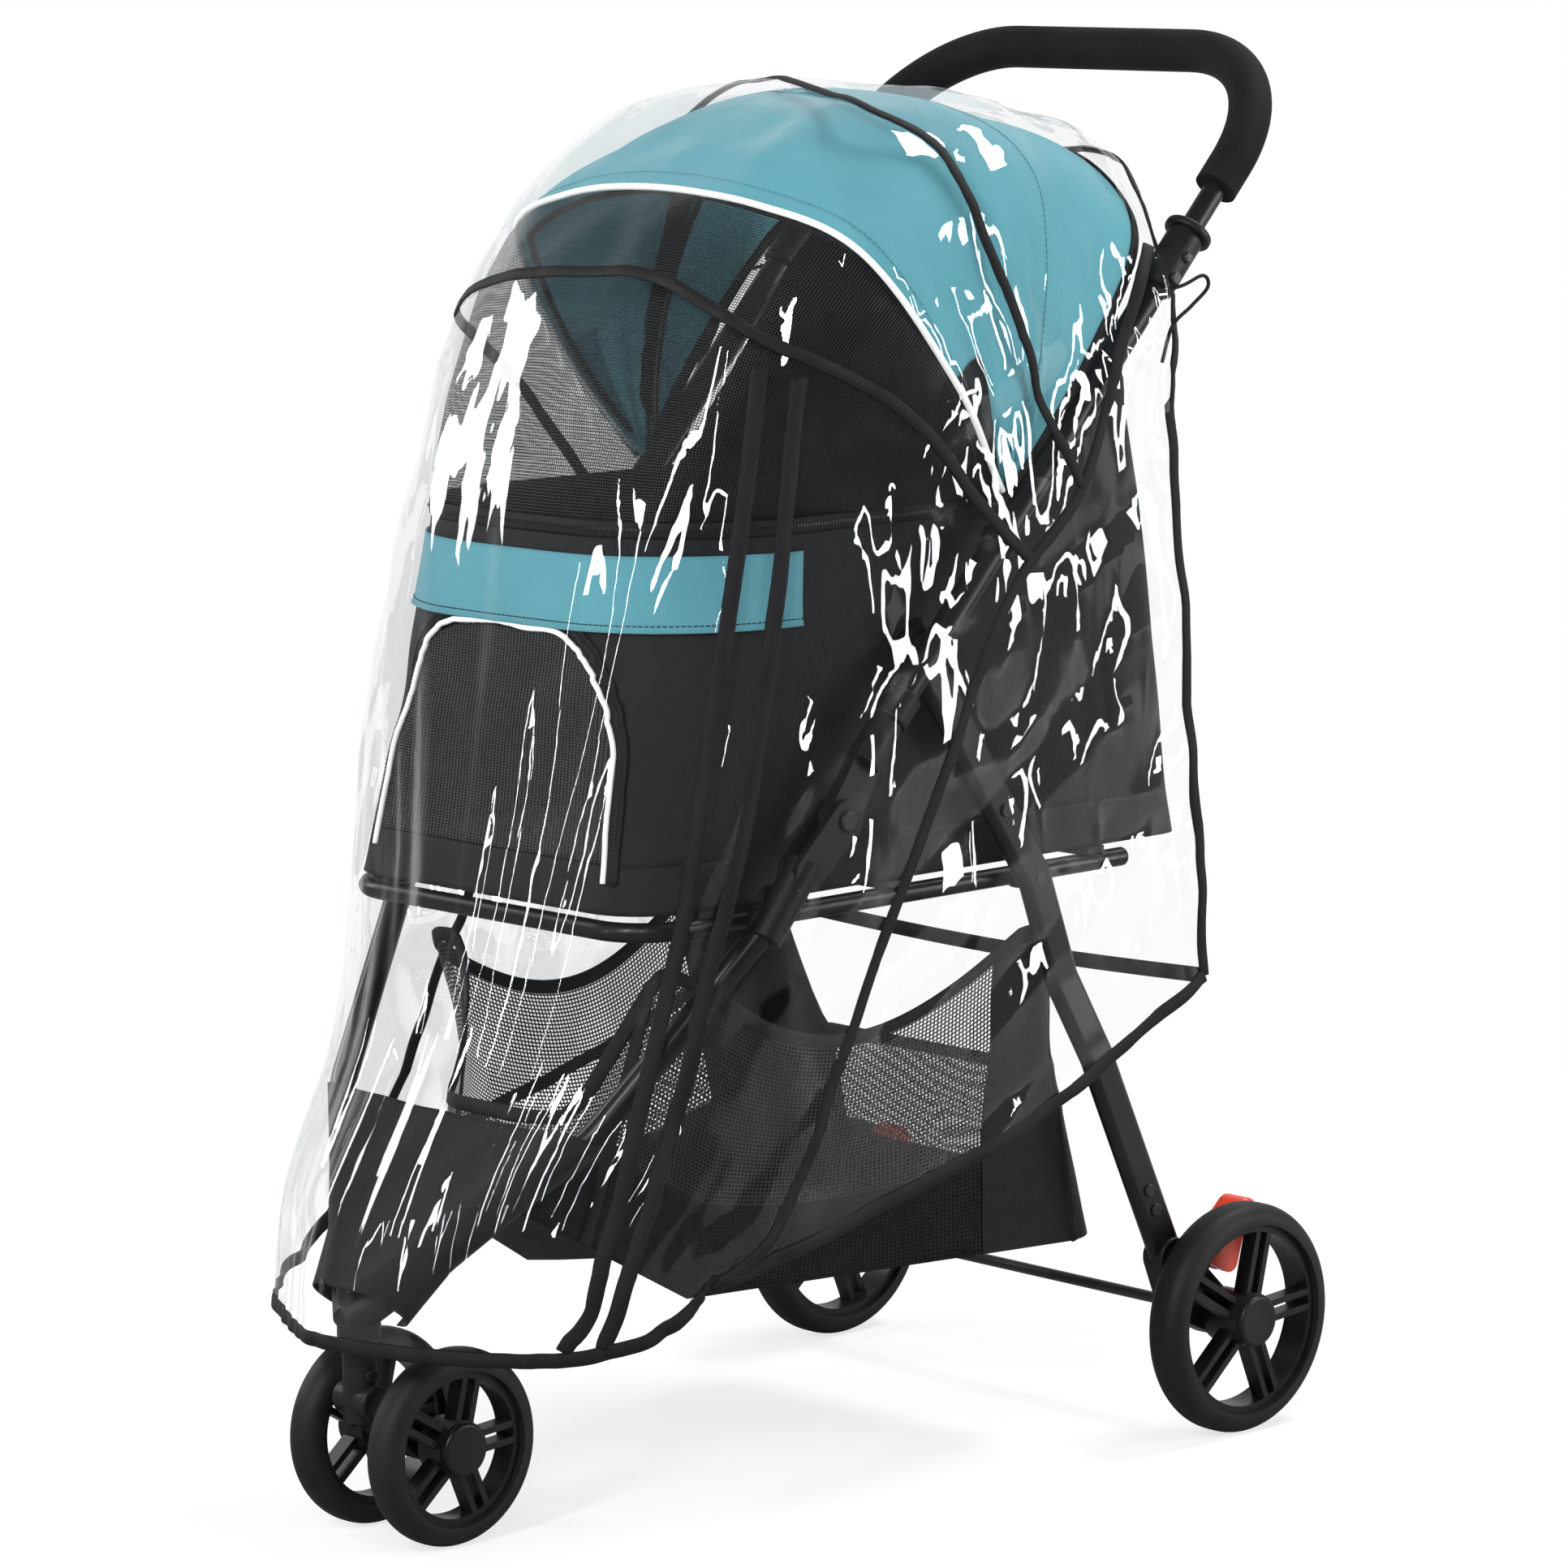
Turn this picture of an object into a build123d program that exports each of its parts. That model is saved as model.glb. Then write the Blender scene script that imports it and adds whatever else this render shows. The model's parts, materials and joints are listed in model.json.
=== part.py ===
from build123d import *
from math import cos, radians, sin, sqrt
import os

# Folding three-wheel pet stroller with a clear rain cover on it. Millimetres, +Z up, floor at Z = 0.
# The front faces -Y and +X is the stroller's left side. Driving sizes are measured from the middle of the
# wheelbase, and the finished pieces are moved so that the origin is under the middle of the overall box.

# Wheels and axles
WHEELBASE = 580.0
REAR_TRACK = 408.0
REAR_WHEEL_R = 81.0
REAR_TYRE_W = 31.0
FRONT_WHEEL_R = 66.0
FRONT_TYRE_W = 27.0
FRONT_SPACING = 80.0
TYRE_DEPTH = 14.0
TREAD_ROUND = 12.0
RIM_DEPTH = 5.5
HUB_R = 19.0
CAP_R = 18.0
CAP_DEPTH = 5.0
SPOKE_COUNT = 5
SPOKE_PHASE = -14.0
SPOKE_RIB_W = 4.5
SPOKE_RIB_PITCH = 11.0
SPOKE_DEPTH = 12.0
AXLE_R = 4.0
CASTER_TRAIL = 43.0

# Clearances
RUNNING = 0.05
SEAT = 0.3

# Side tubes and handle
TUBE_X = 185.0
TUBE_RISE = 46.8
UPPER_TUBE_R = 9.5
TUBE_WALL = 1.5
KNEE_Y = -80.38
KNEE_Z = 477.52
HANDLE_Z = 955.0
HANDLE_CORNER_R = 100.0
HANDLE_INSERT = 55.0
COLLAR_FROM_BAR = 165.0
COLLAR_LENGTH = 46.0
COLLAR_R = 13.0
FLANGE_R = 17.0
FLANGE_DEPTH = 6.0
GRIP_R = 15.0
GRIP_ARM = 122.0
BUTTON_R = 4.0
BUTTON_FROM_TOP = 18.0
BUTTON_PROUD = 2.5
BOLT_FROM_TOP = 36.0
CLIP_FROM_KNEE = 230.0
CLIP_LENGTH = 12.0

# Fold joint
PIVOT_SET = 8.0
TONGUE_T = 9.0
CHEEK_T = 4.5
EYE_R = 14.0
PIN_R = 4.0
PIN_HEAD_R = 7.0
PIN_HEAD_T = 2.5
SLEEVE_START = 40.0
SLEEVE_LENGTH = 34.0
SLEEVE_R = 12.0
SLEEVE_TIP_R = 11.0
LATCH_LENGTH = 22.0
LATCH_R = 13.0
LATCH_TAB = 8.0

# Front legs and head
FRONT_LEG_R = 9.0
LEG_BEND_ONE = 75.0
LEG_LAST_RUN = 114.0
LEG_FOOT_SETBACK = 21.0
LEG_FOOT_Z = 186.4
LEG_MID_X = 127.0
LEG_END_X = 34.0
LEG_BEND_R = 70.0
LUG_SLEEVE_END = 98.0
LUG_T = 7.0
LUG_R = 10.0
HEAD_SLEEVE_R = 13.0
HEAD_SLEEVE_LAP = 38.0
HEAD_BOSS_R = 14.5
HEAD_BOTTOM = 140.0
HEAD_TOP = 182.0
SOCKET_TOP = 168.0
PANEL_BELOW_BEND = 4.0
PANEL_LENGTH = 62.0
PANEL_T = 4.0
PANEL_SLEEVE_R = 13.5

# Caster
STEM_R = 8.0
FORK_SLEEVE_R = 11.5
FORK_BOTTOM = 84.0
FORK_ARM_R = 14.0
FORK_ARM_W = 34.0
FORK_ROUND = 3.0
CASTER_BUTTON_R = 4.5
CASTER_BUTTON_Z = 116.0

# Cabin base
BASE_Z = 408.0
BASE_X = 150.0
BASE_R = 6.5
BASE_FRONT_Y = -217.0
BASE_REAR_Y = 227.0
BASE_CORNER_R = 40.0
BASE_CAP_LENGTH = 14.0
BASE_PIVOT_FRONT_Y = -120.0
BASE_PIVOT_REAR_Y = 124.0
BOSS_R = 9.0
CROSS_BAR_W = 25.0
CROSS_BAR_T = 4.0
CROSS_BAR_SETBACK = 62.0
FLOOR_T = 4.0

# Rear legs
REAR_LEG_X = 168.5
LEG_FROM_WHEEL = 26.0
REAR_LEG_W = 27.0
REAR_LEG_T = 12.0
REAR_LEG_TOP = 136.0
REAR_LEG_JOG = (150.0, 335.0)
REAR_LEG_JOG_END = (174.0, 280.0)
REAR_LEG_FOOT = (259.0, 96.0)
REAR_LEG_BEND_R = 30.0
BRACKET_R = 16.0
BRACKET_W = 19.0
RIVET_R = 4.5
RIVET_H = 2.0

# Brake pedals
BRAKE_AHEAD_OF_AXLE = 7.0
BRAKE_Z = 124.0
BRAKE_PIN_R = 3.0
BRAKE_EAR_R = 8.0
BRAKE_LUG_T = 6.0
BRAKE_EAR_T = 5.0
PAD_BEHIND_AXLE = 30.0
PAD_Z = 148.0
HEEL_BEHIND_AXLE = 11.0
HEEL_Z = 116.0
PAD_R = 10.0
PAD_W = 24.0

# Cloth cabin
CLOTH_T = 3.0
CABIN_FLOOR_Z = 419.0
CABIN_RIM_Z = 667.0
CABIN_TOP_Z = 840.0
CABIN_BOTTOM = (-222.0, 293.0, 152.0, 45.0)
CABIN_RIM = (-185.0, 252.0, 156.0, 105.0)
CABIN_PEAK = (-160.0, 224.0, 156.0, 105.0)
CABIN_REAR_R = 25.0
CABIN_SLOPE = 48.0
DOOR_HALF_W = 114.0
DOOR_SILL_Z = 450.0
DOOR_TOP_Z = 594.0
DOOR_ARCH_R = 78.0
DOOR_GAP = 0.4
MAT_T = 15.0
MAT_INSET = 14.0
MAT_CROWN = 6.0

# Hood, drawn as arches on planes that turn about the line through the two hoop feet
HOOD_Y = 86.0
HOOD_Z = 668.0
HOOD_FOOT = 8.0
SCREEN_T = 2.0
HOOP_R = 2.5
HOOP_SAG = 2.2
HOOP_FOOT = 30.0

# Basket
BASKET_T = 2.5
BASKET_FLOOR_Z = 142.0
BASKET_TOP_Z = 370.0
BASKET_SCOOP_Z = 314.0
BASKET_FRONT_Z = 275.0
BASKET_FRONT_HALF = 95.0

# Rain cover
FILM_T = 1.2
FILM_STRAP_H = 12.0
FILM_TOE_CLEARANCE = 7.5

FRONT_AXLE_Y = -WHEELBASE / 2
REAR_AXLE_Y = WHEELBASE / 2
BRAKE_Y = REAR_AXLE_Y - BRAKE_AHEAD_OF_AXLE
PAD_Y = REAR_AXLE_Y + PAD_BEHIND_AXLE
BRAKE_HEEL = (REAR_AXLE_Y + HEEL_BEHIND_AXLE, HEEL_Z)
CASTER_Y = FRONT_AXLE_Y - CASTER_TRAIL
FRONT_END = FRONT_AXLE_Y - FRONT_WHEEL_R
REAR_LEG_LOW_X = REAR_TRACK / 2 - LEG_FROM_WHEEL

HANDLE_TUBE_R = UPPER_TUBE_R - TUBE_WALL - RUNNING
TUBE_DIR = Vector(0, cos(radians(TUBE_RISE)), sin(radians(TUBE_RISE)))
TUBE_NORMAL = Vector(0, sin(radians(TUBE_RISE)), -cos(radians(TUBE_RISE)))
KNEE = Vector(0, KNEE_Y, KNEE_Z)
HANDLE_LENGTH = (HANDLE_Z - KNEE_Z) / TUBE_DIR.Z
HANDLE_Y = KNEE_Y + TUBE_DIR.Y * HANDLE_LENGTH
REAR_END = HANDLE_Y + GRIP_R
DATUM_Y = (FRONT_END + REAR_END) / 2
LEG_SPAN = Vector(0, CASTER_Y + LEG_FOOT_SETBACK, LEG_FOOT_Z) - KNEE
LEG_DIR = LEG_SPAN.normalized()
LEG_END = LEG_SPAN.length
LEG_BEND_TWO = LEG_END - LEG_LAST_RUN
PANEL_TOP = LEG_BEND_TWO + PANEL_BELOW_BEND
PANEL_BOTTOM = PANEL_TOP + PANEL_LENGTH
FOLD_PIVOT = KNEE + TUBE_NORMAL * PIVOT_SET
X_AXIS = Vector(1, 0, 0)
LOW = (Align.CENTER, Align.CENTER, Align.MIN)


def on_tube(distance, x=TUBE_X):
    """Point on a side tube's centre line, this far up from the knee."""
    return KNEE + TUBE_DIR * distance + X_AXIS * x


def on_leg(distance, x=TUBE_X):
    """Point on a front leg's centre line, this far down from the knee."""
    return KNEE + LEG_DIR * distance + X_AXIS * x


def rod(start, end, radius):
    """Solid cylinder between two points."""
    span = Vector(*end) - Vector(*start)
    return Plane(origin=start, z_dir=span) * Cylinder(radius, span.length, align=LOW)


def cone(start, end, start_r, end_r):
    """Solid cone between two points."""
    span = Vector(*end) - Vector(*start)
    return Plane(origin=start, z_dir=span) * Cone(start_r, end_r, span.length, align=LOW)


def swept(path, profile):
    """A profile, drawn about the origin, carried along a path."""
    return sweep(Plane(origin=path @ 0, z_dir=path % 0) * profile, path)


def end_rim(shape, direction):
    """The circular edge of a turned piece that lies farthest along a direction."""
    return max(shape.edges().filter_by(GeomType.CIRCLE), key=lambda edge: edge.arc_center.dot(direction))


def both_rims(shape):
    """Every circular edge of a turned piece."""
    return shape.edges().filter_by(GeomType.CIRCLE)


def bent_tube(points, bend_r, radius, wall):
    """Hollow round tube along straight runs with rounded bends."""
    path = FilletPolyline(*points, radius=bend_r)
    return swept(path, Circle(radius) - Circle(radius - wall))


def side_plate(outline, x_start, x_end):
    """Outline drawn in Y and Z, made solid between two X positions."""
    plane = Plane(origin=(x_start, 0, 0), x_dir=(0, 1, 0), z_dir=(1, 0, 0))
    return extrude(plane * outline, amount=x_end - x_start)


def disc_hull(discs):
    """Outline round a few discs, each given as (Y, Z, radius)."""
    edges = [Pos(y, z) * Edge.make_circle(radius) for y, z, radius in discs]
    return make_hull(ShapeList(edges))


def mirrored(shape):
    """The right-hand copy of a left-hand piece."""
    return mirror(shape, about=Plane.YZ)


def plan_outline(z, front, rear, half_width, front_r, rear_r):
    """Rounded plan outline at one height, with its own front and rear corners."""
    middle = (front + rear) / 2
    outline = Pos(0, middle) * Rectangle(2 * half_width, rear - front)
    outline = fillet(outline.vertices().sort_by(Axis.Y)[:2], front_r)
    outline = fillet(outline.vertices().sort_by(Axis.Y)[-2:], rear_r)
    return Pos(0, 0, z) * outline


def hood_plane(angle, shift=0.0):
    """Plane through the two hoop feet, turned up from the rear, and shifted square to itself."""
    out = Vector(0, cos(radians(angle)), sin(radians(angle)))
    normal = X_AXIS.cross(out)
    return Plane(origin=Vector(0, HOOD_Y, HOOD_Z) + normal * shift, x_dir=X_AXIS, z_dir=normal)


def arch_edges(arch, inset, foot):
    """Edges of one arch from its left foot to its right foot, set in by the wall."""
    foot_x, side_x, side_r, shoulder_x, shoulder_r, top_r = arch
    slope = inset * sqrt(0.5)
    left_foot = (foot_x - inset, foot)
    left_side = (side_x - inset, side_r)
    left_shoulder = (shoulder_x - slope, shoulder_r - slope)
    right_shoulder = (-shoulder_x + slope, shoulder_r - slope)
    right_side = (-side_x + inset, side_r)
    right_foot = (-foot_x + inset, foot)
    return [
        ThreePointArc(left_foot, left_side, left_shoulder),
        ThreePointArc(left_shoulder, (0, top_r - inset), right_shoulder),
        ThreePointArc(right_shoulder, right_side, right_foot),
    ]


def arch_band(plane, arch, wall, inset=0.0):
    """Thin closed arch, wall thick, on a hood plane."""
    outer = arch_edges(arch, inset, HOOD_FOOT)
    inner = arch_edges(arch, inset + wall, HOOD_FOOT)
    ends = [Line(outer[0] @ 0, inner[0] @ 0), Line(outer[2] @ 1, inner[2] @ 1)]
    return plane * make_face(outer + inner + ends)


# Arches as (foot X, side X, side height, shoulder X, shoulder height, top height)
RIM_ARCH = (156.0, 157.5, 120.0, 125.0, 240.0, 271.0)
BOW_ARCH = (181.0, 194.0, 100.0, 171.0, 209.0, 256.0)
CROWN_ARCH = (182.0, 194.0, 100.0, 169.0, 212.0, 267.0)
REAR_HOOP_ARCH = (183.0, 193.0, 100.0, 166.0, 213.0, 272.0)
REAR_EDGE_ARCH = (183.0, 188.0, 110.0, 172.0, 214.0, 288.0)
RIM_ANGLE = 180.0
SCREEN_ANGLE = 152.0
BOW_ANGLE = 126.0
CROWN_ANGLE = 101.0
REAR_HOOP_ANGLE = 76.0
REAR_EDGE_ANGLE = 51.5
SCREEN_ARCH = (170.0, 178.0, 105.0, 148.0, 214.0, 252.0)


def canopy():
    """Teal cloth over the hoops, from the front bow to its rear edge."""
    bands = [
        arch_band(hood_plane(BOW_ANGLE), BOW_ARCH, CLOTH_T),
        arch_band(hood_plane(CROWN_ANGLE), CROWN_ARCH, CLOTH_T),
        arch_band(hood_plane(REAR_HOOP_ANGLE), REAR_HOOP_ARCH, CLOTH_T),
        arch_band(hood_plane(REAR_EDGE_ANGLE), REAR_EDGE_ARCH, CLOTH_T),
    ]
    return loft(bands, ruled=True)


def mesh_screen():
    """Net front of the hood, from the cabin's zip line up to the front bow."""
    bands = [
        arch_band(hood_plane(RIM_ANGLE, -SEAT), RIM_ARCH, SCREEN_T),
        arch_band(hood_plane(SCREEN_ANGLE), SCREEN_ARCH, SCREEN_T),
        arch_band(hood_plane(BOW_ANGLE, SEAT), BOW_ARCH, SCREEN_T),
    ]
    return loft(bands, ruled=True)


def canopy_hoops():
    """The two sprung wires sewn under the canopy, front and rear."""
    hoops = []
    for angle, arch in ((BOW_ANGLE - 1.5, BOW_ARCH), (REAR_HOOP_ANGLE, REAR_HOOP_ARCH)):
        wire = Wire(arch_edges(arch, CLOTH_T + HOOP_R + HOOP_SAG, HOOP_FOOT))
        path = hood_plane(angle) * wire
        hoops.append(sweep(Plane(origin=path @ 0, z_dir=path % 0) * Circle(HOOP_R), path, transition=Transition.ROUND))
    return hoops


def cabin_solid(inset, floor_z):
    """Cabin tub as a full solid, set in by a wall and starting at a floor height."""
    sections = []
    for z, outline in ((floor_z, CABIN_BOTTOM), (CABIN_RIM_Z, CABIN_RIM), (CABIN_TOP_Z, CABIN_PEAK)):
        front, rear, half_width, front_r = outline
        sections.append(
            plan_outline(z, front + inset, rear - inset, half_width - inset, front_r - inset, CABIN_REAR_R - inset)
        )
    return loft(sections, ruled=True)


def above_cabin():
    """Everything over the cabin's rim: level at the front, then rising along the side tubes."""
    reach = 600.0
    rise = reach * sin(radians(CABIN_SLOPE)) / cos(radians(CABIN_SLOPE))
    outline = make_face(
        Polyline(
            (-reach, CABIN_RIM_Z), (HOOD_Y, CABIN_RIM_Z), (HOOD_Y + reach, CABIN_RIM_Z + rise),
            (HOOD_Y + reach, 2 * CABIN_TOP_Z), (-reach, 2 * CABIN_TOP_Z), close=True,
        )
    )
    return side_plate(outline, -reach, reach)


def door_prism(grow):
    """Arched prism through the cabin's front wall, grown on every side."""
    half_w = DOOR_HALF_W + grow
    bottom = DOOR_SILL_Z - grow
    top = DOOR_TOP_Z + grow
    outline = Pos(0, (bottom + top) / 2) * Rectangle(2 * half_w, top - bottom)
    outline = fillet(outline.vertices().sort_by(Axis.Y)[-2:], DOOR_ARCH_R)
    plane = Plane(origin=(0, CABIN_RIM[0] + CABIN_RIM[3], 0), x_dir=(1, 0, 0), z_dir=(0, -1, 0))
    return extrude(plane * outline, amount=CABIN_RIM[3] - CABIN_BOTTOM[0])


def cabin_wall():
    """Cabin tub with its floor, open at the top, with no door cut in it."""
    return cabin_solid(0, CABIN_FLOOR_Z) - cabin_solid(CLOTH_T, CABIN_FLOOR_Z + CLOTH_T) - above_cabin()


def floor_board():
    """Stiff board in the bottom of the cabin."""
    front, rear, half_width, front_r = CABIN_BOTTOM
    inset = CLOTH_T + 5 * SEAT
    board = plan_outline(0, front + inset, rear - inset, half_width - inset, front_r - inset, CABIN_REAR_R - inset)
    # The walls lean in from the floor at the front and the rear, and the board's top edge stays clear of them.
    lean_front = (CABIN_RIM[0] - front) / (CABIN_RIM_Z - CABIN_FLOOR_Z)
    setback = lean_front * (FLOOR_T + CLOTH_T) + SEAT
    board = board & (Pos(0, (front + rear) / 2) * Rectangle(4 * half_width, rear - front - 2 * inset - 2 * setback))
    return extrude(Pos(0, 0, CABIN_FLOOR_Z + CLOTH_T + SEAT) * board, amount=FLOOR_T)


def cabin_mat():
    """Padded mat on the floor board: drawn-in rim, crowned top."""
    front, rear, half_width, front_r = CABIN_BOTTOM
    base_z = CABIN_FLOOR_Z + CLOTH_T + SEAT + FLOOR_T + SEAT
    sections = []
    for rise, draw in ((0, 10.0), (MAT_T * 0.35, 0.0), (MAT_T * 0.7, 4.0), (MAT_T, 34.0)):
        edge = MAT_INSET + draw
        height = rise + (MAT_CROWN if draw > MAT_CROWN and rise > 0 else 0)
        sections.append(
            plan_outline(
                base_z + height, front + edge, rear - edge - CABIN_REAR_R, half_width - edge,
                front_r + MAT_CROWN, CABIN_REAR_R,
            )
        )
    return loft(sections, ruled=True)


def base_pieces():
    """The U tube under the cabin with its caps, cross bars and pivot bosses."""
    corners = [(BASE_X, BASE_REAR_Y), (BASE_X, BASE_FRONT_Y), (-BASE_X, BASE_FRONT_Y), (-BASE_X, BASE_REAR_Y)]
    tube = bent_tube([Vector(x, y, BASE_Z) for x, y in corners], BASE_CORNER_R, BASE_R, TUBE_WALL)
    caps = []
    bosses = []
    for side in (1, -1):
        end = Vector(side * BASE_X, BASE_REAR_Y, BASE_Z)
        back = Vector(0, 1, 0)
        plug = rod(end - back * BASE_CAP_LENGTH, end, BASE_R - TUBE_WALL - RUNNING)
        dome = rod(end, end + back * (BASE_R / 2), BASE_R)
        caps.append(plug + fillet(dome.edges().group_by(Axis.Y)[-1], BASE_R / 3))
        for y, face in ((BASE_PIVOT_FRONT_Y, LUG_INNER_X), (BASE_PIVOT_REAR_Y, REAR_LEG_X - REAR_LEG_T / 2)):
            rail = Vector(side * BASE_X, y, BASE_Z)
            boss = rod(rail, Vector(side * (face - SEAT), y, BASE_Z), BOSS_R)
            far_face = face + (LUG_T if y == BASE_PIVOT_FRONT_Y else REAR_LEG_T)
            pin = rod(rail, Vector(side * (far_face + SEAT), y, BASE_Z), PIN_R)
            saddle = rod(rail - back * 2 * BOSS_R, rail + back * 2 * BOSS_R, BASE_R + RUNNING)
            bosses.append(boss + pin - saddle)
    bar_z = BASE_Z + BASE_R + RUNNING
    bars = []
    for y in (BASE_FRONT_Y + CROSS_BAR_SETBACK, (BASE_FRONT_Y + BASE_REAR_Y) / 2, BASE_REAR_Y - CROSS_BAR_SETBACK / 2):
        bar = Pos(0, y, bar_z) * Box(2 * BASE_X + 2 * BASE_R, CROSS_BAR_W, CROSS_BAR_T, align=LOW)
        bars.append(fillet(bar.edges().filter_by(Axis.Z), BASE_R - RUNNING))
    return tube, caps, bars, bosses


LUG_INNER_X = TUBE_X - SLEEVE_R - LUG_T / 2


def leg_points():
    """Corner points of the left front leg's centre line, from the fold joint down to the head."""
    return [
        on_leg(SLEEVE_START), on_leg(LEG_BEND_ONE),
        on_leg(LEG_BEND_TWO, LEG_MID_X), on_leg(LEG_END, LEG_END_X),
    ]


def front_leg():
    """Left front leg, bent in towards the front wheel."""
    return bent_tube(leg_points(), LEG_BEND_R, FRONT_LEG_R, TUBE_WALL)


def leg_core(radius):
    """Left front leg as a full rod, for cutting the bores that hold it."""
    return swept(FilletPolyline(*leg_points(), radius=LEG_BEND_R), Circle(radius))


def pivot_plate(direction, length, x_start, x_end, bore):
    """Eye round the fold pivot with a tail along a tube, between two X positions."""
    tail = KNEE + direction * length
    outline = disc_hull([(FOLD_PIVOT.Y, FOLD_PIVOT.Z, EYE_R), (tail.Y, tail.Z, SLEEVE_R)])
    plate = side_plate(outline, x_start, x_end)
    return plate - rod((x_start - 1, FOLD_PIVOT.Y, FOLD_PIVOT.Z), (x_end + 1, FOLD_PIVOT.Y, FOLD_PIVOT.Z), bore)


def joint_tongue():
    """Upper half of the left fold joint: a tongue on a tapered sleeve round the side tube."""
    half_t = TONGUE_T / 2
    plate = pivot_plate(TUBE_DIR, SLEEVE_START + SLEEVE_R / 2, TUBE_X - half_t, TUBE_X + half_t, PIN_R + RUNNING)
    sleeve = cone(on_tube(SLEEVE_START), on_tube(SLEEVE_START + SLEEVE_LENGTH), SLEEVE_R, SLEEVE_TIP_R)
    bore = rod(on_tube(SLEEVE_START + 2), on_tube(SLEEVE_START + 2 * SLEEVE_LENGTH), UPPER_TUBE_R + RUNNING)
    return plate + sleeve - bore


def leg_clevis():
    """Lower half of the left fold joint: two cheeks, a sleeve round the leg and the lug of the base pivot."""
    inner = TONGUE_T / 2 + SEAT
    outer = inner + CHEEK_T
    tail = SLEEVE_START + SLEEVE_R / 2
    cheeks = [
        pivot_plate(LEG_DIR, tail, TUBE_X + start, TUBE_X + end, PIN_R + RUNNING)
        for start, end in ((inner, outer), (-outer, -inner))
    ]
    sleeve = cone(on_leg(SLEEVE_START), on_leg(LUG_SLEEVE_END), SLEEVE_R, SLEEVE_TIP_R + SEAT)
    foot = on_leg((SLEEVE_START + LUG_SLEEVE_END) / 2)
    outline = disc_hull([(BASE_PIVOT_FRONT_Y, BASE_Z, LUG_R), (foot.Y, foot.Z, LUG_R)])
    lug = side_plate(outline, LUG_INNER_X, LUG_INNER_X + LUG_T)
    eye = rod((LUG_INNER_X - 1, BASE_PIVOT_FRONT_Y, BASE_Z), (TUBE_X, BASE_PIVOT_FRONT_Y, BASE_Z), PIN_R + RUNNING)
    return cheeks[0] + cheeks[1] + sleeve + lug - eye - leg_core(FRONT_LEG_R + RUNNING)


def fold_pin():
    """Left fold pin with its outer head."""
    outer = TUBE_X + TONGUE_T / 2 + SEAT + CHEEK_T
    inner = TUBE_X - TONGUE_T / 2 - SEAT - CHEEK_T
    y, z = FOLD_PIVOT.Y, FOLD_PIVOT.Z
    head = rod((outer, y, z), (outer + PIN_HEAD_T, y, z), PIN_HEAD_R)
    head = fillet(head.edges().group_by(Axis.X)[-1], PIN_HEAD_T / 2)
    return rod((inner, y, z), (outer, y, z), PIN_R) + head


def leg_run():
    """Direction of the left front leg's last straight run."""
    points = leg_points()
    return (points[3] - points[2]).normalized()


def front_head():
    """Moulded Y piece that joins the two front legs over the caster socket."""
    end = leg_points()[3]
    run = leg_run()
    to_middle = -end.X / run.X
    sleeve = rod(end - run * HEAD_SLEEVE_LAP, end + run * to_middle, HEAD_SLEEVE_R)
    boss = Pos(0, CASTER_Y, HEAD_BOTTOM) * Cylinder(HEAD_BOSS_R, HEAD_TOP - HEAD_BOTTOM, align=LOW)
    boss = fillet(boss.edges().group_by(Axis.Z)[-1], HEAD_BOSS_R / 2)
    socket = Pos(0, CASTER_Y, 0) * Cylinder(STEM_R + RUNNING, SOCKET_TOP, align=LOW)
    core = leg_core(FRONT_LEG_R + RUNNING)
    return boss + sleeve + mirrored(sleeve) - core - mirrored(core) - socket


def front_panel():
    """Cloth panel stretched between the front legs, with the sleeves that hold it to them."""
    points = leg_points()
    run = leg_run()
    drop = (points[3] - points[2]).length / (LEG_END - LEG_BEND_TWO)
    start = points[2] + run * drop * (PANEL_TOP - LEG_BEND_TWO)
    end = points[2] + run * drop * (PANEL_BOTTOM - LEG_BEND_TWO)
    sleeve = rod(start, end, PANEL_SLEEVE_R)
    bore = rod(start - run, end + run, FRONT_LEG_R + RUNNING)
    slope = (end - start).normalized()
    normal = X_AXIS.cross(LEG_DIR)
    sheet = make_face(Polyline((start.X, 0), (end.X, PANEL_BOTTOM - PANEL_TOP), (-end.X, PANEL_BOTTOM - PANEL_TOP),
                               (-start.X, 0), close=True))
    plane = Plane(origin=Vector(0, start.Y, start.Z) - normal * (PANEL_T / 2), x_dir=X_AXIS, z_dir=normal)
    sheet = extrude(plane * sheet, amount=PANEL_T)
    core = leg_core(FRONT_LEG_R + RUNNING)
    return sheet + sleeve + mirrored(sleeve) - bore - mirrored(bore) - core - mirrored(core)


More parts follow.
